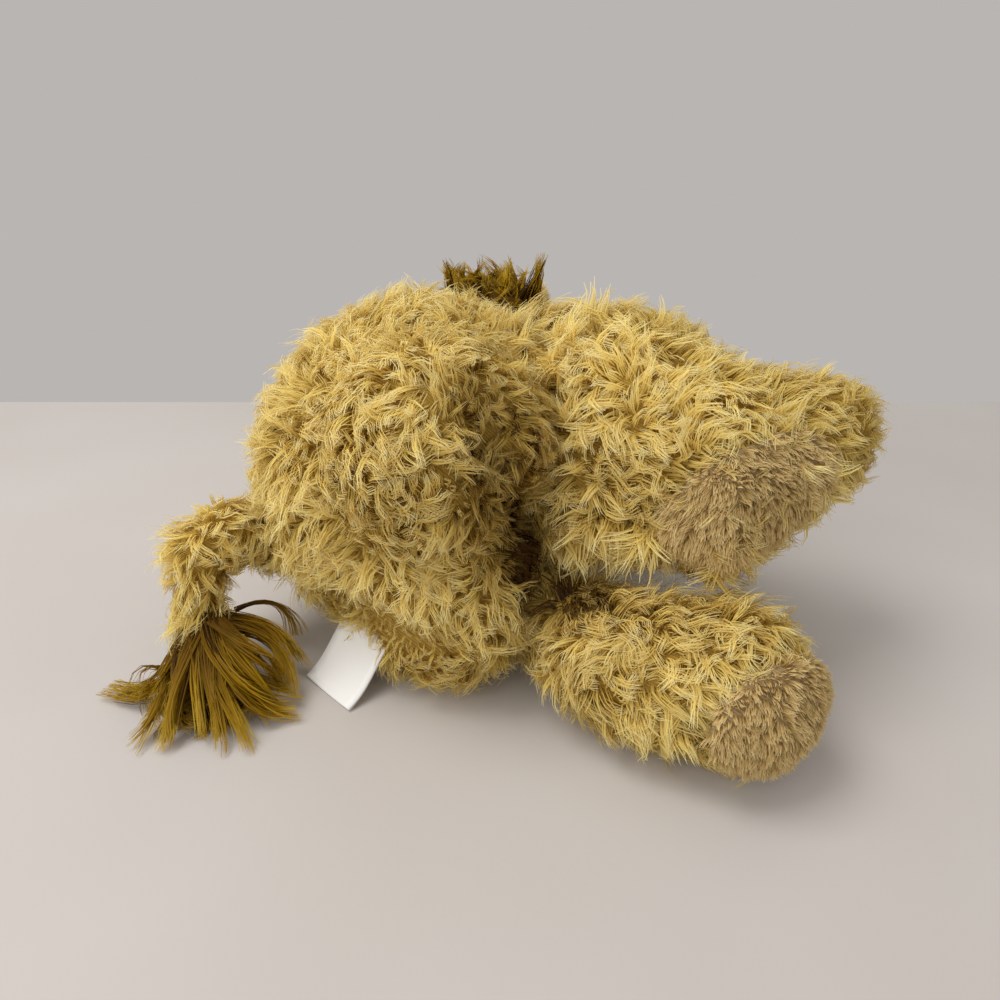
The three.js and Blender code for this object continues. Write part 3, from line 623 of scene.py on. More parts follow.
def bend_of(rng, steps, length, rise, rest, curl, wave):
    """The middle line of a lock, and which way it heads, from its root to its tip.

    rise and rest are its slope at the root and the tip, in radians. curl turns it sideways to
    one side, and wave to and fro."""
    rise += rng.normal(0, RISES)
    rest += rng.normal(0, RESTS)
    turn = rng.normal(0, curl)
    start = rng.uniform(0, 2 * math.pi)
    place = Vector()
    line = []
    for k in range(steps + 1):
        t = k / steps
        slope = rise + (rest - rise) * min(1, SETTLING * t)
        heading = turn * t * t + wave * (math.sin(start + WAVE_TURN * t) - math.sin(start))
        flat = math.cos(slope)
        ahead = Vector((flat * math.cos(heading), flat * math.sin(heading), math.sin(slope)))
        line.append((place.copy(), ahead))
        place += ahead * length / steps
    return line


def make_lock(rng, line, strands, breadth, depth, width, tip_share, gather, ragged, fray=0.06):
    """One lock along a line of places and headings that starts at the origin.

    tip_share is how wide a strand's tip is, of its root. gather draws the strands together
    towards the tip, ragged shortens them, and fray spreads their tips."""
    shape = bmesh.new()
    tones = shape.loops.layers.uv.new("OFBake")
    steps = len(line) - 1
    length = sum((after[0] - before[0]).length for before, after in zip(line, line[1:]))
    for i in range(strands):
        sideways = ((i + rng.uniform(0.2, 0.8)) / strands - 0.5) * breadth
        upwards = rng.uniform(-0.5, 0.5) * depth
        share = 1 - ragged * rng.uniform()
        roll = rng.normal(0, ROLL)
        drift = rng.normal(0, fray)
        tone = rng.normal(0, STRAND_TONES)
        edge = None
        for k, (place, ahead) in enumerate(line):
            t = k / steps
            side = ahead.cross(Vector((0, 0, 1))).normalized()
            over = side.cross(ahead)
            middle = place * share + (side * sideways + over * upwards) * (1 - gather * t)
            middle += side * drift * length * t * t
            half = side * (width / 2 * (1 - (1 - tip_share) * t**2))
            half.rotate(Matrix.Rotation(roll, 3, ahead))
            ends = (middle - half, middle + half)
            if edge is None:
                pair = [shape.verts.new(end) for end in ends]
                edge = shape.edges.new(pair)
                continue
            grown = bmesh.ops.extrude_edge_only(shape, edges=[edge])["geom"]
            edge = next(part for part in grown if isinstance(part, bmesh.types.BMEdge))
            face = next(part for part in grown if isinstance(part, bmesh.types.BMFace))
            pair = [min(edge.verts, key=lambda v: (v.co - old.co).length) for old in pair]
            for vert, end in zip(pair, ends):
                vert.co = end
            for corner in face.loops:
                corner[tones].uv = (tone, t if corner.vert in pair else t - 1 / steps)
    shape.normal_update()
    bmesh.ops.reverse_faces(shape, faces=[face for face in shape.faces if face.normal.z < 0])
    shape.normal_update()
    shape.verts.index_update()
    points = np.array([vert.co for vert in shape.verts])
    normals = unit(np.array([vert.normal for vert in shape.verts]) + np.array([0, 0, SOFTNESS]))
    loops = [list(face.loops) for face in shape.faces]
    corners = np.array([[corner.vert.index for corner in four] for four in loops])
    tone_map = np.array([[tuple(corner[tones].uv) for corner in four] for four in loops])
    shape.free()
    return points, normals, corners, tone_map


def make_locks(seed, steps, length, rise, rest, curl, wave, **form):
    """A handful of different locks of one sort, all leaning towards +x."""
    rng = np.random.default_rng(seed)
    lines = (bend_of(rng, steps, length, rise, rest, curl, wave) for _ in range(LOCK_KINDS))
    locks = [make_lock(rng, line, **form) for line in lines]
    print("a lock has", 2 * len(locks[0][2]), "triangles")
    return locks


# %% [markdown]
# The toy needs five sorts of lock. The straw pile is 16.5 mm long and falls over, the pads' pile is
# 5 mm and stands, the mane's hair is 34 mm and ends in points, the tuft's is the same but curlier,
# and the short pile under the straw one fills its gaps. A plush is one of these sorts, its
# material, and a name for it.

# %% Five sorts of lock
HAIR_LENGTH = 0.034
straw_locks = make_locks(
    1, strands=9, steps=4, length=0.0165, rise=1.05, rest=-0.05, curl=1.3, wave=0.4,
    breadth=0.0036, depth=0.0024, width=0.00044, tip_share=0.3, gather=0.5, ragged=0.4,
)
short_locks = make_locks(
    2, strands=6, steps=2, length=0.005, rise=1.0, rest=0.5, curl=0.3, wave=0.1,
    breadth=0.0018, depth=0.0008, width=0.00036, tip_share=0.4, gather=0.3, ragged=0.4,
)
long_locks = make_locks(
    3, strands=12, steps=6, length=HAIR_LENGTH, rise=0.6, rest=0.0, curl=0.5, wave=0.4,
    breadth=0.0065, depth=0.004, width=0.0009, tip_share=0.2, gather=0.96, ragged=0.3,
)
curly_locks = make_locks(
    5, strands=14, steps=6, length=HAIR_LENGTH, rise=0.5, rest=0.0, curl=1.3, wave=0.8,
    breadth=0.0065, depth=0.004, width=0.0007, tip_share=0.2, gather=0.92, ragged=0.3,
)
under_locks = make_locks(
    4, strands=7, steps=2, length=0.009, rise=0.9, rest=0.5, curl=0.6, wave=0.2,
    breadth=0.0045, depth=0.003, width=0.0006, tip_share=0.4, gather=0.1, ragged=0.5,
)
STRAW = (straw_locks, straw_pile, "straw_plush")
UNDER_STRAW = (under_locks, straw_pile, "straw_plush")
TAUPE = (short_locks, taupe_pile, "sole_plush")
CREAM = (short_locks, cream_pile, "cream_plush")
MANE = (long_locks, mane_hair, "mane_fur")
UNDER_MANE = (under_locks, mane_hair, "mane_fur")
TUFT = (curly_locks, mane_hair, "mane_fur")

# %% [markdown]
# Sewing means choosing roots all over a cloth and putting a lock on each. The locks lie in
# swirls: a smooth noise turns their lean every couple of centimetres, as it does on plush that
# has been hugged. They also gather in clumps, whose locks lean one way and share a tone.

# %% Clumps
def clump_of(roots, clump_size, spacing, rng):
    """For each root, the number of the root that its clump gathers round."""
    share = min(1, (spacing / clump_size) ** 2)
    centres = np.flatnonzero(rng.uniform(size=len(roots)) < share)
    centres = centres if len(centres) else np.array([0])
    tree = KDTree(len(centres))
    for i, centre in enumerate(centres):
        tree.insert(roots[centre], i)
    tree.balance()
    return np.array([centres[tree.find(root)[1]] for root in roots])


# %% [markdown]
# The roots of a machine-made pile stand at even distances. Points chosen at random would leave
# holes, so three times too many are tried, and those too close to one already taken are dropped.
# Roots that would be inside a neighbouring part are left out as well.

# %% Roots
CANDIDATES = 3  # roots tried for each one kept
ROOM_SHARE = 0.75  # of the spacing, the least room between two roots
RAY = Vector((0.31, 0.17, 0.93))  # along no axis, so that it runs along no edge
RAY_STEP = 1e-6


def spread_out(roots, room):
    """The numbers of roots that keep their distance from each other, taken in turn."""
    taken, kept = {}, []
    cells = np.floor(roots / room).astype(int)
    steps = [(i, j, k) for i in (-1, 0, 1) for j in (-1, 0, 1) for k in (-1, 0, 1)]
    for i, (x, y, z) in enumerate(cells.tolist()):
        near = [taken[c] for c in ((x + a, y + b, z + c) for a, b, c in steps) if c in taken]
        if all(np.dot(roots[i] - roots[j], roots[i] - roots[j]) > room * room for j in near):
            taken[(x, y, z)] = i
            kept.append(i)
    return np.array(kept)


class Surface:
    """A finished cloth as arrays, with a search tree."""

    def __init__(self, mesh):
        mesh.calc_loop_triangles()
        flat = np.zeros(len(mesh.loop_triangles) * 3, int)
        mesh.loop_triangles.foreach_get("vertices", flat)
        self.triangles = flat.reshape(-1, 3)
        flat = np.zeros(len(mesh.vertices) * 3)
        mesh.vertex_normals.foreach_get("vector", flat)
        self.normals = flat.reshape(-1, 3)
        self.points = points_of(mesh)
        self.low, self.high = self.points.min(0), self.points.max(0)
        self.tree = BVHTree.FromPolygons(self.points.tolist(), self.triangles.tolist())

    def pick(self, spacing, rng):
        """Random roots, one to every spacing by spacing square, and their outward directions."""
        a, b, c = (self.points[self.triangles[:, i]] for i in range(3))
        areas = np.linalg.norm(np.cross(b - a, c - a), axis=1) / 2
        count = int(areas.sum() / spacing**2) * CANDIDATES
        chosen = self.triangles[rng.choice(len(areas), size=count, p=areas / areas.sum())]
        mix = rng.dirichlet((1, 1, 1), size=count)
        roots = np.einsum("ij,ijk->ik", mix, self.points[chosen])
        even = spread_out(roots, spacing * ROOM_SHARE)[: count // CANDIDATES]
        return roots[even], unit(np.einsum("ij,ijk->ik", mix, self.normals[chosen]))[even]

    def covers(self, roots):
        """Which roots lie inside: a ray from there leaves the cloth once more than it enters."""
        inside = np.all((roots > self.low) & (roots < self.high), axis=1)
        for i in np.flatnonzero(inside):
            inside[i] = False
            place = Vector(roots[i])
            while (hit := self.tree.ray_cast(place, RAY)[0]) is not None:
                inside[i] = not inside[i]
                place = hit + RAY * RAY_STEP
        return inside


surfaces = {name: Surface(cloth.data) for name, cloth in cloths.items()}

# %% [markdown]
# The pile isn't the same all over. It is shorter in the seams, where painted shade darkens it,
# longer where it fluffs up beside them, and short above the label. Painted light makes it paler on
# top of the upper leg. Each of these places is a line with a width round it, inside which the locks
# are longer or shorter, and lighter or darker.

# %% Trimming the pile
TRIMS = [  # a line of places, how wide, how much longer and how much lighter the pile is there
    # The crease beside the leg: shorter pile round it, and painted shade along its middle.
    (CREASE, 0.03, 0.5, 0.0),
    (CREASE, 0.028, 1.0, -0.9),
    # Painted shade in the deep gap under the upper leg, between the legs.
    ([here(48, -60, 66), here(62, -62, 64), here(85, -60, 62)], 0.018, 0.9, -0.8),
    ([here(38, 78, 130), here(62, 78, 132)], 0.03, 1.7, 0.0),
    # More painted shade in that gap under the upper leg.
    ([here(55, -68, 62), here(66, -73, 62), here(74, -74, 62)], 0.018, 1.0, -0.8),
    ([here(75, -68, 74), here(100, -72, 72), here(120, -72, 70)], 0.024, 1.5, 0.15),
    # Painted light: the pile on top of the upper leg is paler, where the light from above falls.
    ([here(72, -44, 142), here(98, -52, 136), here(124, -52, 136)], 0.036, 1.0, 0.3),
    ([here(52, 5, 137), here(58, -14, 142), here(68, -10, 150)], 0.024, 1.45, 0.1),
    ([here(-97, -50, 34), here(-97, -58, 30)], 0.014, 1.4, 0.0),
    ([here(190, -45, 118), here(173, -43, 131)], 0.03, 0.6, 0.0),
    ([here(165, -105, 55), here(165, -125, 20)], 0.03, 0.65, 0.0),
    # A little painted shade in the seam above the label, where the pile is also short.
    (ABOVE_LABEL, 0.028, 0.2, -0.1),
    ([here(16, 150, 122), here(46, 150, 122)], 0.024, 0.5, 0.25),
]
TRIM_EDGE = 1.5  # how steeply a trim sets in from the edge of its width


def trim(roots, size):
    """Scales the locks near the trims' lines in place, and returns how much lighter or darker
    painted light and shade make them.
    """
    shade = np.zeros(len(roots))
    for line, width, longer, lighter in TRIMS:
        near_line = np.clip(TRIM_EDGE * (1 - far_from(roots, line) / width), 0, 1)
        size *= 1 + (longer - 1) * near_line
        shade += lighter * near_line
    return shade


# %% [markdown]
# A lock stands on its root with three directions of its own: ahead is where it leans, up is away
# from the cloth, and across is square to both. The brushing gives the first, the swirls and the
# clump turn it, and a little chance tousles it.

# %% How the locks lie
WHIRL = 2.2  # how strong the swirls are against the brushing
PARTING = 0.4  # how far the pile stands up where the swirls part it, in radians
SWIRL_SEED = 1
noise.seed_set(SWIRL_SEED)  # without a seed the swirls would differ from one run to the next


def brush(roots, out, way, leader, swirl, swirl_size, draw, clump_size):
    """Where each lock leans along the cloth, and how much the swirls part the pile there."""
    whirl = np.array([noise.noise_vector(Vector(root) / swirl_size) for root in roots])
    lean = (unit(way) + swirl * WHIRL * whirl)[leader]
    lean += draw * (roots[leader] - roots) / clump_size
    lean -= out * np.einsum("ij,ij->i", lean, out)[:, None]
    return unit(lean), np.maximum(0, 1 - np.linalg.norm(lean, axis=1))


def tousle(ahead, out, parting, leader, rng, twist, stand, unrest):
    """The three directions of each lock, after it is turned sideways and lifted a little."""
    count = len(out)
    turn = (rng.normal(0, twist, count) + rng.normal(0, twist, count)[leader])[:, None]
    ahead = np.cos(turn) * ahead + np.sin(turn) * np.cross(out, ahead)
    lift = rng.normal(0, unrest, count)[leader] + rng.normal(0, unrest / 2, count)
    lift = (stand + lift + PARTING * parting)[:, None]
    up = np.cos(lift) * out - np.sin(lift) * ahead
    ahead = np.cos(lift) * ahead + np.sin(lift) * out
    return ahead, np.cross(up, ahead), up


# %% [markdown]
# All the locks of a pile are written into one mesh, because thousands of objects would be slow. A
# strand that would go through the table is laid down on it instead.

# %% One mesh of many locks
PRESSED_SHARE = 0.15  # of how far a strand is lifted onto the table, how far it then stands off it
PRESSED_MOST = 0.002
MAP_EDGE = 0.01  # the tone map keeps this far from its edges


def copies(name, locks, kinds, frames, roots, tones, material):
    """One mesh of many placed locks, laid down where it would go through the table."""
    all_points, all_normals, all_corners, all_maps = [], [], [], []
    start = 0
    for kind, (points, normals, corners, tone_map) in enumerate(locks):
        mine = kinds == kind
        placed = np.einsum("kij,pj->kpi", frames[mine], points) + roots[mine][:, None, :]
        all_normals.append(np.einsum("kij,pj->kpi", frames[mine], normals).reshape(-1, 3))
        turned = np.linalg.det(frames[mine]) < 0
        offsets = start + np.arange(len(placed)) * len(points)
        faces = corners[None] + offsets[:, None, None]
        maps = np.broadcast_to(tone_map, (len(placed), *tone_map.shape)).copy()
        maps[..., 0] += tones[mine][:, None, None]
        faces[turned] = faces[turned][..., ::-1]
        maps[turned] = maps[turned][..., ::-1, :]
        start += len(placed) * len(points)
        all_points.append(placed.reshape(-1, 3))
        all_corners.append(faces.reshape(-1, 4))
        all_maps.append(maps.reshape(-1, 2))
    points, corners = np.concatenate(all_points), np.concatenate(all_corners)
    under = np.maximum(FLOOR_CLEARANCE - points[:, 2], 0)
    points[:, 2] += under + np.minimum(under * PRESSED_SHARE, PRESSED_MOST)
    mesh = bpy.data.meshes.new(name)
    mesh.vertices.add(len(points))
    mesh.vertices.foreach_set("co", points.astype(np.float32).ravel())
    mesh.loops.add(corners.size)
    mesh.loops.foreach_set("vertex_index", corners.astype(np.int32).ravel())
    mesh.polygons.add(len(corners))
    mesh.polygons.foreach_set("loop_start", np.arange(0, corners.size, 4, dtype=np.int32))
    mesh.polygons.foreach_set("use_smooth", np.ones(len(corners), bool))
    mesh.update(calc_edges=True)
    strand_map = mesh.uv_layers.new(name="OFBake")
    uv = np.clip(np.concatenate(all_maps), MAP_EDGE, 1 - MAP_EDGE)
    strand_map.data.foreach_set("uv", uv.astype(np.float32).ravel())
    mesh.normals_split_custom_set_from_vertices(unit(np.concatenate(all_normals)).tolist())
    mesh.materials.append(material)
    piece = bpy.data.objects.new(name, mesh)
    bpy.context.scene.collection.objects.link(piece)
    return piece


# %% [markdown]
# With these helpers a cloth is sewn in one call, which says which locks it gets, how densely, and
# which way they are brushed. A pile of more than 190 000 triangles is split into several pieces,
# so that none grows too big to export whole.

# %% Sewing the locks on
LIMIT = 190_000  # triangles in one piece
PATCH = 0.03  # how wide a patch of lighter or darker pile is
PATCH_SHIFT = Vector((9, 2, 5))  # so that the patches don't follow the swirls
PATCH_TONES, CLUMP_TONES, LOCK_TONES = 0.25, 0.13, 0.08  # how far the tones differ
DARKEST, LIGHTEST = 0.3, 0.95  # the tones before a trim changes them
LEAST_SHARE = 0.2  # of its length, what a lock keeps where there is no room for it
SAME_KIND = 0.5  # the share of locks that are the same kind as the rest of their clump


def sew(
    name, cloth_name, body, locks, material, slot, spacing, seed, flow,
    swirl=1.0, swirl_size=0.02, clump_size=0.006, draw=0.5, stand=0.0, unrest=0.2, twist=0.3,
    scale=(0.8, 1.2), tone=0.75, near=(), keep=None, within=None,
):
    """Sews locks onto a cloth, one to every spacing by spacing square.

    flow gives the way the pile is brushed. draw is how strongly the locks of a clump lean
    towards its middle. near are the cloths that may hide a root. within is a CAD node whose
    outline the tips stay inside, how far they may stand out of it, and the locks' length."""
    rng = np.random.default_rng(seed)
    roots, out = surfaces[cloth_name].pick(spacing, rng)
    kept = keep(roots, out) if keep else np.ones(len(roots), bool)
    for other in near:
        kept &= ~surfaces[other].covers(roots)
    roots, out = roots[kept], out[kept]
    count = len(roots)
    leader = clump_of(roots, clump_size, spacing, rng)
    way = flow(roots, out)
    ahead, parting = brush(roots, out, way, leader, swirl, swirl_size, draw, clump_size)
    ahead, across, up = tousle(ahead, out, parting, leader, rng, twist, stand, unrest)
    size = rng.uniform(*scale, count)
    if within:
        node, spare, length = within
        outline = points_of(nodes[node].data)
        for i in range(count):
            room = (outline @ ahead[i]).max() + spare - roots[i] @ ahead[i]
            size[i] = min(size[i], max(room, LEAST_SHARE * length) / length)
    shade = trim(roots, size)
    mirror = rng.choice([-1, 1], count)
    frames = np.stack([ahead, across * mirror[:, None], up], axis=2) * size[:, None, None]
    patch = np.array([noise.noise(Vector(root) / PATCH + PATCH_SHIFT) for root in roots])
    lock_tone = tone + PATCH_TONES * patch
    lock_tone = lock_tone + rng.normal(0, CLUMP_TONES, count)[leader]
    lock_tone = lock_tone + rng.normal(0, LOCK_TONES, count)
    # shade holds the trims' painted shade and painted light
    lock_tone = np.clip(lock_tone, DARKEST, LIGHTEST) + shade
    kinds = rng.integers(0, len(locks), count)[leader]
    alike = rng.uniform(size=count) < SAME_KIND
    kinds = np.where(alike, kinds, rng.integers(0, len(locks), count))
    triangles = 2 * len(locks[0][2])
    per_piece = LIMIT // triangles
    for number, first in enumerate(range(0, count, per_piece)):
        part = slice(first, first + per_piece)
        piece_name = name if count <= per_piece else f"{name}_{number + 1}"
        piece = copies(
            piece_name, locks, kinds[part], frames[part], roots[part], lock_tone[part], material
        )
        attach(piece, body)
    print(name, count, "locks,", count * triangles, "triangles")


# %% [markdown]
# The torso's pile is brushed outwards from the middle of the hips and falls a little with its own
# weight. Most of the pile that the toy lies on is left out: it is squashed flat and never seen.

# %% The torso's fur
HIPS = np.array(here(0, 0, 79))
SPACING = 0.003
LYING = 0.004  # below this height the toy lies on its pile
FACES_DOWN = -0.75  # where the cloth faces down more steeply than this


def brushed_from(middle, fall):
    """The pile points away from a middle, and down by a share."""

    def flow(roots, out):
        away = unit(roots - middle)
        away[:, 2] -= fall
        return away

    return flow


def off_the_table(roots, out):
    """Leaves out most of the pile that the toy lies on."""
    return (roots[:, 2] > LYING) | (out[:, 2] > FACES_DOWN)


sew(
    "torso_pile", "torso_cloth", "torso", *STRAW,
    spacing=SPACING, seed=11, flow=brushed_from(HIPS, 0.4), tone=0.82,
    near=[name for name in CLOTHS if name != "torso_cloth"], keep=off_the_table,
)

# %% [markdown]
# Under the long locks plush has a thinner, shorter pile that points every way. It fills the gaps
# where the long locks part.

# %% The short pile underneath
EVERY_WAY = {"swirl": 3.0, "swirl_size": 0.006}
TORSO_NEIGHBOURS = ["right_leg_cloth", "left_leg_cloth", "head_cloth", "tail_cloth"]
for body, seed, near in (
    ("torso", 61, TORSO_NEIGHBOURS),
    ("right_leg", 62, ["torso_cloth", "right_sole"]),
    ("left_leg", 63, ["torso_cloth", "left_sole"]),
):
    sew(
        f"{body}_under_pile", f"{body}_cloth", body, *UNDER_STRAW,
        spacing=0.0046, seed=seed, flow=brushed_from(HIPS, 0.0), tone=0.5,
        near=near, keep=off_the_table, **EVERY_WAY,
    )

# %% [markdown]
# The upper leg hides most of the lower one and fills a third of the picture. Its pile is brushed
# away from the thigh on all sides, and falls a little.

# %% The upper leg's fur
RIGHT_THIGH = np.array(here(85, -25, 105))
sew(
    "right_leg_pile", "right_leg_cloth", "right_leg", *STRAW,
    spacing=SPACING, seed=12, flow=brushed_from(RIGHT_THIGH, 0.3),
    near=["torso_cloth", "right_sole"],
)

# %% [markdown]
# In the photograph the pile of the upper leg hangs down in front of the gap between the legs. The
# trimming can make it longer there but can't turn it, so a second row of long locks is sewn along
# the front edge of the leg's underside, and stands off it.

# %% The fringe under the upper leg
FRINGE_MIDDLE = np.array(here(80, -53, 70))
FRINGE_ROOM = np.array([0.021, 0.016, 0.015])  # how far it reaches each way
FRINGE_END = np.array(here(76, -90, 30))


def brushed_towards(place, fall):
    """The pile points towards a far end, and down by a share."""

    def flow(roots, out):
        ahead = unit(place - roots)
        ahead[:, 2] -= fall
        return ahead

    return flow


def under_the_leg(roots, out):
    """The front edge of the upper leg's underside."""
    return (np.abs(roots - FRINGE_MIDDLE) < FRINGE_ROOM).all(axis=1)


sew(
    "right_leg_fringe", "right_leg_cloth", "right_leg", *STRAW,
    spacing=SPACING, seed=17, flow=brushed_towards(FRINGE_END, 0.5), swirl=0.4, stand=0.8,
    near=["torso_cloth", "right_sole"], keep=under_the_leg, scale=(1.1, 1.5), tone=0.85,
)

# %% [markdown]
# The pile of the lower leg and of the arms is brushed towards the foot or the paw, and the tail's
# towards its tuft. The arms' and the tail's locks are smaller than the body's.

# %% The fur of the other limbs and the tail
LEFT_FOOT = np.array(here(162, -146, 30))
TUFT_MIDDLE = np.array(here(-103, -66, 10))
sew(
    "left_leg_pile", "left_leg_cloth", "left_leg", *STRAW,
    spacing=SPACING, seed=13, flow=brushed_towards(LEFT_FOOT, 0.3),
    near=["torso_cloth", "left_sole", "right_leg_cloth"], keep=off_the_table,
)
for side, seed, height in (("right", 14, 105), ("left", 15, 25)):
    paw = np.array(here(152, 54, height))
    sew(
        f"{side}_arm_pile", f"{side}_arm_cloth", f"{side}_arm", *STRAW,
        spacing=SPACING, seed=seed, flow=brushed_towards(paw, 0.3), scale=(0.65, 0.95),
        near=["torso_cloth", f"{side}_paw"], keep=off_the_table,
    )
sew(
    "tail_pile", "tail_cloth", "tail", *STRAW,
    spacing=SPACING, seed=16, flow=brushed_towards(TUFT_MIDDLE, 0.1), scale=(0.7, 1.0), tone=1.0,
    near=["torso_cloth"], keep=off_the_table,
)

# %% [markdown]
# The soles and the paws' pads are a taupe plush with a short upright pile, brushed outwards from
# the middle of each pad. Its locks are small and stand close together.

# %% The soles' short pile
for side, body, seed, middle in (
    ("right_sole", "right_leg", 21, (132, -66, 150)),
    ("left_sole", "left_leg", 22, (132, -116, 90)),
    ("right_paw", "right_arm", 23, (112, 64, 130)),
    ("left_paw", "left_arm", 24, (112, 44, 60)),
):
    sew(
        f"{side}_pile", side, body, *TAUPE,
        spacing=0.0015, seed=seed, flow=brushed_from(np.array(here(*middle)), 0.8), swirl=0.3,
        near=[f"{body}_cloth"],
    )

# %% [markdown]
# The head is behind the body in the photograph, so it is a plain plush lion's head: short pile on
# the face, a paler muzzle, and two round ears. The pile is left out where the eyes sit.

# %% The head's fur
HEAD_MIDDLE = np.array(here(33, 165, 67))
FACE_FROM = HEAD_MIDDLE[0] + 0.012  # the face's pile starts this far forward
EYE_ROOM = 0.0085
EYE_SEATS = [here(78.2, 183.7, 67 + side * 23.1) for side in (1, -1)]


def brushed_back(forward, fall):
    """The pile points away from a place so far in front of the middle of the head."""
    return brushed_from(HEAD_MIDDLE + np.array([forward, 0, 0]), fall)


def on_face(roots, out):
    """The front of the head, but for the eyes."""
    clear = [np.linalg.norm(roots - np.array(seat), axis=1) > EYE_ROOM for seat in EYE_SEATS]
    return (roots[:, 0] > FACE_FROM) & clear[0] & clear[1]


def behind_face(roots, out):
    """The back of the head, but for what it lies on."""
    return (roots[:, 0] <= FACE_FROM) & off_the_table(roots, out)


sew(
    "face_pile", "head_cloth", "head", *STRAW,
    spacing=0.0026, seed=35, flow=brushed_back(0.05, 0.1), swirl=0.4, scale=(0.38, 0.5), tone=0.8,
    near=["torso_cloth", "mane_cloth", "muzzle_cloth"], keep=on_face,
)
sew(
    "head_pile", "head_cloth", "head", *STRAW,
    spacing=0.0035, seed=31, flow=brushed_back(0.05, 0.2), scale=(0.7, 0.95),
    near=["torso_cloth", "mane_cloth"], keep=behind_face,
)
sew(
    "head_under_pile", "head_cloth", "head", *UNDER_STRAW,
    spacing=0.0042, seed=64, flow=brushed_from(HEAD_MIDDLE, 0.0), tone=0.6,
    near=["torso_cloth", "mane_cloth"], keep=behind_face, **EVERY_WAY,
)
sew(
    "muzzle_pile", "muzzle_cloth", "head", *CREAM,
    spacing=0.0017, seed=32, flow=brushed_back(0.07, 0.2), swirl=0.3, scale=(0.7, 0.95),
    near=["head_cloth", "nose_cloth"],
)
for side, seed, lining_seed in (("right", 33, 37), ("left", 34, 38)):
    ear, cloth, lining = f"{side}_ear", f"{side}_ear_cloth", f"{side}_ear_inside"
    sew(
        f"{ear}_pile", cloth, ear, *STRAW,
        spacing=0.0026, seed=seed, flow=brushed_from(HEAD_MIDDLE, 0.0), swirl=0.4,
        scale=(0.45, 0.65), near=["head_cloth", lining],
    )
    sew(
        f"{ear}_lining_pile", lining, ear, *CREAM,
        spacing=0.0017, seed=lining_seed, flow=brushed_from(HEAD_MIDDLE, 0.0), swirl=0.3,
        scale=(0.7, 1.0), near=[cloth],
    )

# %% [markdown]
# The eyes are moulded domes on a stem, turned from one profile and pushed through the cloth. The
# washers that lock them are inside the head, and keep their CAD shape.

# %% The eyes
EYE_RADIUS = 0.0065
EYE_HEIGHT = 0.0048
STEM_RADIUS = 0.002
STEM_LENGTH = 0.012
DOME_STEPS = 8
EYE_TURNS = 32


def moulded_plastic(name, colour, darker, roughness):
    """Plastic from a polished mould: one colour, and gloss broken only by a faint haze."""
    plastic = new_material(name)
    _, tint = tinted(plastic, "TexNoise", {"Scale": 400.0}, [(0.3, darker), (0.7, colour)])
    return principled(plastic, {"Base Color": tint, "Roughness": roughness, "IOR": 1.5})


def make_eye(name, seat, cad_name, material):
    """A dome on a stem, spun round the line from the middle of the head to its seat."""
    shape = bmesh.new()
    profile = [(0, -STEM_LENGTH), (STEM_RADIUS, -STEM_LENGTH), (STEM_RADIUS, 0), (EYE_RADIUS, 0)]
    for k in range(1, DOME_STEPS + 1):
        angle = k / DOME_STEPS * math.pi / 2
        profile.append((EYE_RADIUS * math.cos(angle), EYE_HEIGHT * math.sin(angle)))
    profile[-1] = (0, EYE_HEIGHT)
    verts = [shape.verts.new((radius, 0, height)) for radius, height in profile]
    edges = [shape.edges.new(pair) for pair in zip(verts, verts[1:])]
    bmesh.ops.spin(
        shape, geom=verts + edges, axis=(0, 0, 1), cent=(0, 0, 0), angle=2 * math.pi,
        steps=EYE_TURNS, use_merge=True,
    )
    bmesh.ops.remove_doubles(shape, verts=shape.verts, dist=MERGE)
    bmesh.ops.recalc_face_normals(shape, faces=shape.faces)
    out = seat - Vector(HEAD_MIDDLE)
    turn = out.to_track_quat("Z", "X").to_matrix()
    bmesh.ops.rotate(shape, cent=(0, 0, 0), matrix=turn, verts=shape.verts)
    bmesh.ops.translate(shape, vec=seat, verts=shape.verts)
    eye = put_mesh(name, shape, material)
    for face in eye.data.polygons:
        face.use_smooth = True
    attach(eye, "head")
    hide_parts(cad_name)


eye_plastic = moulded_plastic("polished_black_plastic", "#17110d", "#0f0a07", 0.1)
washer_plastic = moulded_plastic("white_washer_plastic", "#e6e6e1", "#dcdcd6", 0.5)
for side, seat in zip(("right", "left"), EYE_SEATS):
    make_eye(f"{side}_eye_dome", seat, f"{side}_eye", eye_plastic)
    washer = nodes[f"{side}_eye_washer"]
    washer.data.materials.clear()
    washer.data.materials.append(washer_plastic)

# %% [markdown]
# The mouth is embroidered: a row of small stitches goes down from the nose and then out to both
# sides. Each stitch is a small ball of thread, and the row is laid on the muzzle's pile from in
# front, by a ray for each stitch.

# %% The mouth
STITCH = 0.0022
STITCH_RAISED = 0.0026
MOUTH_MIDDLE = here(100, 153, 67)
MOUTH_DROP = 0.008
MOUTH_HALF = 0.011
SMILE_DEPTH = 0.004
SMILE_TURN = 0.75 * math.pi  # how much of a sine wave each side of the smile follows
DROP_STEPS = 5  # stitches below the first one
SIDE_STEPS = 8  # stitches to each side

embroidery = knitted_backing("brown_embroidery_thread", "#4a2d1b", "#2f1b0f")


def mouth_line():
    """Places of the stitches, seen from in front of the muzzle: down, then out to both sides."""
    line = []
    for k in range(DROP_STEPS + 1):
        line.append((MOUTH_MIDDLE.y - MOUTH_DROP * k / DROP_STEPS, MOUTH_MIDDLE.z))
    for side in (1, -1):
        for k in range(1, SIDE_STEPS + 1):
            t = k / SIDE_STEPS
            drop = MOUTH_DROP + SMILE_DEPTH * math.sin(t * SMILE_TURN)
            line.append((MOUTH_MIDDLE.y - drop, MOUTH_MIDDLE.z + side * MOUTH_HALF * t))
    return line


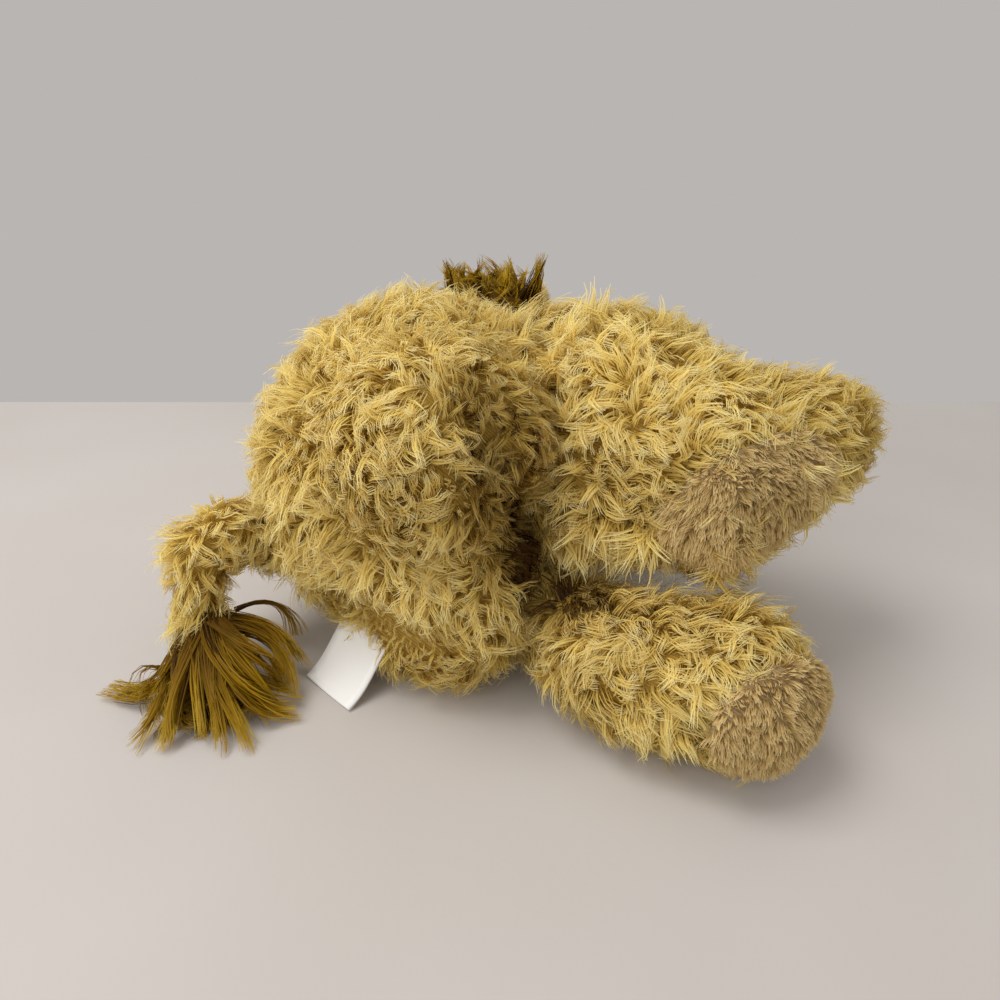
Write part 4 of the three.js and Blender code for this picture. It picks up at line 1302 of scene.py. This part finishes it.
shape = bmesh.new()
muzzle = surfaces["muzzle_cloth"].tree
for y, z in mouth_line():
    place, normal, _, _ = muzzle.ray_cast(Vector((1, y, z)), Vector((-1, 0, 0)))
    if place is None:
        continue
    made = bmesh.ops.create_icosphere(shape, subdivisions=2, radius=STITCH / 2)["verts"]
    bmesh.ops.translate(shape, vec=place + normal * STITCH_RAISED, verts=made)
mouth = put_mesh("mouth_stitches", shape, embroidery)
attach(mouth, "head")

# %% [markdown]
# The mane is long hair round the face, and the tuft is the same hair at the end of the tail. Its
# locks are drawn together into points, and none stands far out of the CAD form round it.

# %% The mane and the tuft
sew(
    "mane_hair", "mane_cloth", "head", *MANE,
    spacing=0.0047, seed=41, flow=brushed_back(0.02, 0.0), swirl=0.4, stand=0.2, draw=1.2,
    tone=0.45, clump_size=0.012, scale=(0.6, 0.9), within=("mane", -0.002, HAIR_LENGTH),
    near=["head_cloth", "torso_cloth"], keep=off_the_table,
)
sew(
    "mane_under_hair", "mane_cloth", "head", *UNDER_MANE,
    spacing=0.0034, seed=43, flow=brushed_back(0.02, 0.0), swirl=0.8, stand=0.1,
    tone=0.35, scale=(0.9, 1.3), near=["head_cloth", "torso_cloth"],
)
TAIL_END = np.array(here(-93, -10, 46))
sew(
    "tuft_hair", "tuft_cloth", "tuft", *TUFT,
    spacing=0.0042, seed=42, flow=brushed_from(TAIL_END, 0.1), swirl=0.3, stand=-0.1, draw=1.0,
    unrest=0.1, twist=0.2, tone=0.2, clump_size=0.012, scale=(0.7, 1.1),
    within=("tail_tuft", -0.012, HAIR_LENGTH), near=["tail_cloth"],
)

# %% [markdown]
# The tuft in the photograph falls from the tail in big S-shaped locks that end in points: some
# sweep to the left, some hang, and some curl round to the right. Each is drawn here as a curve
# with four control points, in millimetres, and repeated with a little jitter. The mane shows as
# two dark points and a golden wisp above the back.

# %% Guided locks
GUIDE_STEPS = 9
GUIDED_TONES = 0.22  # how far the tones of guided locks differ
GUIDED_EDGE = 0.05  # how near their tones come to the ends of the range
TUFT_GUIDES = [
    [(-98, -52, 29), (-103, -77, 26), (-110, -80, 2), (-141, -69, 2)],
    [(-97, -54, 31), (-103, -78, 24), (-108, -84, 2), (-133, -73, 2)],
    [(-100, -51, 27), (-104, -75, 22), (-104, -85, 6), (-113, -98, 2)],
    [(-95, -55, 31), (-97, -86, 26), (-99, -87, 8), (-104, -104, 2)],
    [(-93, -56, 32), (-89, -91, 28), (-101, -88, 8), (-99, -101, 2)],
    [(-91, -57, 33), (-81, -94, 28), (-77, -88, 8), (-76, -104, 2)],
    [(-90, -57, 33), (-78, -94, 28), (-74, -87, 8), (-65, -101, 2)],
    [(-88, -59, 33), (-74, -90, 30), (-64, -81, 14), (-50, -72, 3)],
    [(-87, -61, 32), (-70, -93, 22), (-61, -85, 6), (-48, -85, 2)],
    [(-87, -55, 32), (-61, -58, 34), (-54, -63, 22), (-52, -70, 5)],
    [(-88, -53, 33), (-71, -56, 38), (-60, -53, 28), (-50, -54, 6)],
    [(-87, -63, 35), (-61, -88, 34), (-54, -71, 22), (-58, -70, 6)],
    [(-98, -53, 31), (-103, -76, 28), (-101, -81, 16), (-90, -90, 3)],
    [(-95, -56, 34), (-92, -83, 32), (-87, -87, 20), (-85, -95, 3)],
    [(-91, -57, 35), (-83, -84, 34), (-72, -83, 24), (-62, -86, 3)],
    [(-89, -60, 35), (-76, -85, 34), (-69, -85, 20), (-56, -80, 3)],
]
STRAY_GUIDES = [[(-88, -33, 22), (-72, -27, 28), (-62, -29, 24), (-60, -34, 8)]]
DARK_GUIDES = [
    [(10, 150, 120), (6, 150, 130), (3, 150, 139), (1, 150, 147)],
    [(17, 150, 120), (15, 150, 127), (13, 150, 133), (8, 150, 140)],
    [(26, 150, 120), (25, 150, 124), (23, 150, 128), (20, 150, 134)],
    [(48, 150, 120), (53, 150, 127), (59, 150, 136), (63, 150, 147)],
    [(42, 150, 120), (46, 150, 126), (49, 150, 132), (53, 150, 140)],
    [(57, 150, 120), (59, 150, 127), (61, 150, 136), (60, 150, 144)],
    [(52, 150, 120), (55, 150, 128), (60, 150, 137), (63, 150, 146)],
    [(30, 150, 116), (30, 150, 123), (29, 150, 129), (28, 150, 135)],
    [(37, 150, 116), (38, 150, 123), (39, 150, 129), (41, 150, 135)],
]
GOLDEN_GUIDES = [[(36, 150, 120), (38, 150, 127), (40, 150, 136), (38, 150, 143)]]


def guided_hair(name, body, guides, count, jitter, tone, seed, **form):
    """Locks along drawn curves, each repeated count times."""
    rng = np.random.default_rng(seed)
    locks, roots = [], []
    for guide in guides * count:
        shifts = rng.normal(0, jitter, (4, 3)) * np.array([[1], [2], [2], [1]])
        root, *rest = [here(*place) + Vector(shift) for place, shift in zip(guide, shifts)]
        places = interpolate_bezier(Vector(), *[place - root for place in rest], GUIDE_STEPS + 1)
        ways = [(after - before).normalized() for before, after in zip(places, places[1:])]
        locks.append(make_lock(rng, list(zip(places, ways + ways[-1:])), **form))
        roots.append(root)
    frames = np.broadcast_to(np.eye(3), (len(locks), 3, 3))
    tones = rng.normal(tone, GUIDED_TONES, len(locks))
    tones = np.clip(tones, GUIDED_EDGE, 1 - GUIDED_EDGE)
    piece = copies(name, locks, np.arange(len(locks)), frames, np.array(roots), tones, mane_hair)
    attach(piece, body)
    print(name, len(locks), "locks,", len(piece.data.polygons) * 2, "triangles")


guided_hair(
    "tuft_locks", "tuft", TUFT_GUIDES, count=3, jitter=0.0016, tone=0.5, seed=71, strands=30,
    breadth=0.007, depth=0.005, width=0.0006, tip_share=0.25, gather=0.93, ragged=0.2, fray=0.02,
)
guided_hair(
    "stray_lock", "tuft", STRAY_GUIDES, count=2, jitter=0.0005, tone=0.15, seed=72, strands=16,
    breadth=0.0025, depth=0.002, width=0.0005, tip_share=0.5, gather=0.4, ragged=0.1,
)
guided_hair(
    "mane_points", "head", DARK_GUIDES, count=3, jitter=0.0015, tone=0.3, seed=73, strands=20,
    breadth=0.007, depth=0.005, width=0.0006, tip_share=0.3, gather=0.9, ragged=0.25,
)
guided_hair(
    "mane_wisp", "head", GOLDEN_GUIDES, count=3, jitter=0.0015, tone=0.95, seed=74, strands=20,
    breadth=0.01, depth=0.005, width=0.0006, tip_share=0.3, gather=0.6, ragged=0.5,
)

# %% [markdown]
# The care label is a strip of white satin ribbon, folded in half, with both ends caught in the
# seam under the haunch, and it droops to the table. A cloth simulation could drop it there, but
# its fold wouldn't lie so flat. So a grid is laid along its way out and back, its long sides curl
# up a little, and a thin solidify gives it its thickness.

# %% The care label
LABEL_WIDTH = 0.032
THREAD = 0.0007  # from one thread of the satin to the next
THREAD_HEIGHT = 0.0002
LABEL_THICKNESS = 0.00025
LABEL_LAYERS = (0.0008, 0.0003)  # how far the upper and the lower layer are off its curve
LABEL_ROWS = 16
LABEL_COLUMNS = 8
LABEL_CURL = 0.0008  # how far the long sides of the upper layer curl up
LOWER_CURL = 0.6  # of that, how far the lower layer's do
label_out = Vector((-0.6925, -0.7214, 0))
label_side = label_out.cross(Vector((0, 0, 1)))
label_seam = here(-20.52, -44.88, 0)


def satin_ribbon(name, colour, darker):
    """Woven satin: white, smooth, with the fine lines of its threads, drawn 0.7 mm apart."""
    satin = new_material(name)
    place = add(satin, "TexCoord")
    turn = (0, 0, math.atan2(label_out.y, label_out.x))
    turned = add(satin, "Mapping", {"Vector": place.outputs["Object"], "Rotation": turn})
    wave = {"Vector": turned.outputs["Vector"], "Scale": bands(THREAD), "Distortion": 1.0}
    threads = add(satin, "TexWave", wave).outputs["Fac"]
    tint = add(satin, "ValToRGB", {"Fac": threads}, [(0.0, darker), (1.0, colour)])
    bump = add(satin, "Bump", {"Height": threads, "Strength": 0.15, "Distance": THREAD_HEIGHT})
    weave = {"Base Color": tint.outputs["Color"], "Normal": bump.outputs["Normal"]}
    return principled(satin, {**weave, "Roughness": 0.38})


def along_label(run, height):
    """A place on the label's middle line: metres out from its seam and above the table."""
    return label_seam + label_out * run + Vector((0, 0, height))


droop = interpolate_bezier(
    along_label(0.0, 0.0245), along_label(0.011, 0.0205), along_label(0.0165, 0.0045),
    along_label(0.029, 0.0003), LABEL_ROWS,
)
upper = [point + Vector((0, 0, LABEL_LAYERS[0])) for point in droop]
lower = [point + Vector((0, 0, LABEL_LAYERS[1])) for point in reversed(droop)]
fold = along_label(0.0294, 0.00085)
way = upper + [fold] + lower

shape = bmesh.new()
bmesh.ops.create_grid(shape, x_segments=LABEL_COLUMNS, y_segments=len(way) - 1, size=0.5)
for vert in shape.verts:
    row = round((vert.co.y + 0.5) * (len(way) - 1))
    across = vert.co.x
    curl = LABEL_CURL * (2 * across) ** 2 * (1 if row < len(upper) else LOWER_CURL)
    vert.co = way[row] + label_side * across * LABEL_WIDTH + Vector((0, 0, curl))
bmesh.ops.recalc_face_normals(shape, faces=shape.faces)
white_satin = satin_ribbon("white_satin_ribbon", "#f7f6f3", "#eceae6")
ribbon = put_mesh("care_label_ribbon", shape, white_satin)
for face in ribbon.data.polygons:
    face.use_smooth = True
solidify = ribbon.modifiers.new("Solidify", "SOLIDIFY")
solidify.thickness = LABEL_THICKNESS
solidify.offset = 0
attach(ribbon, "label")
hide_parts("care_label")
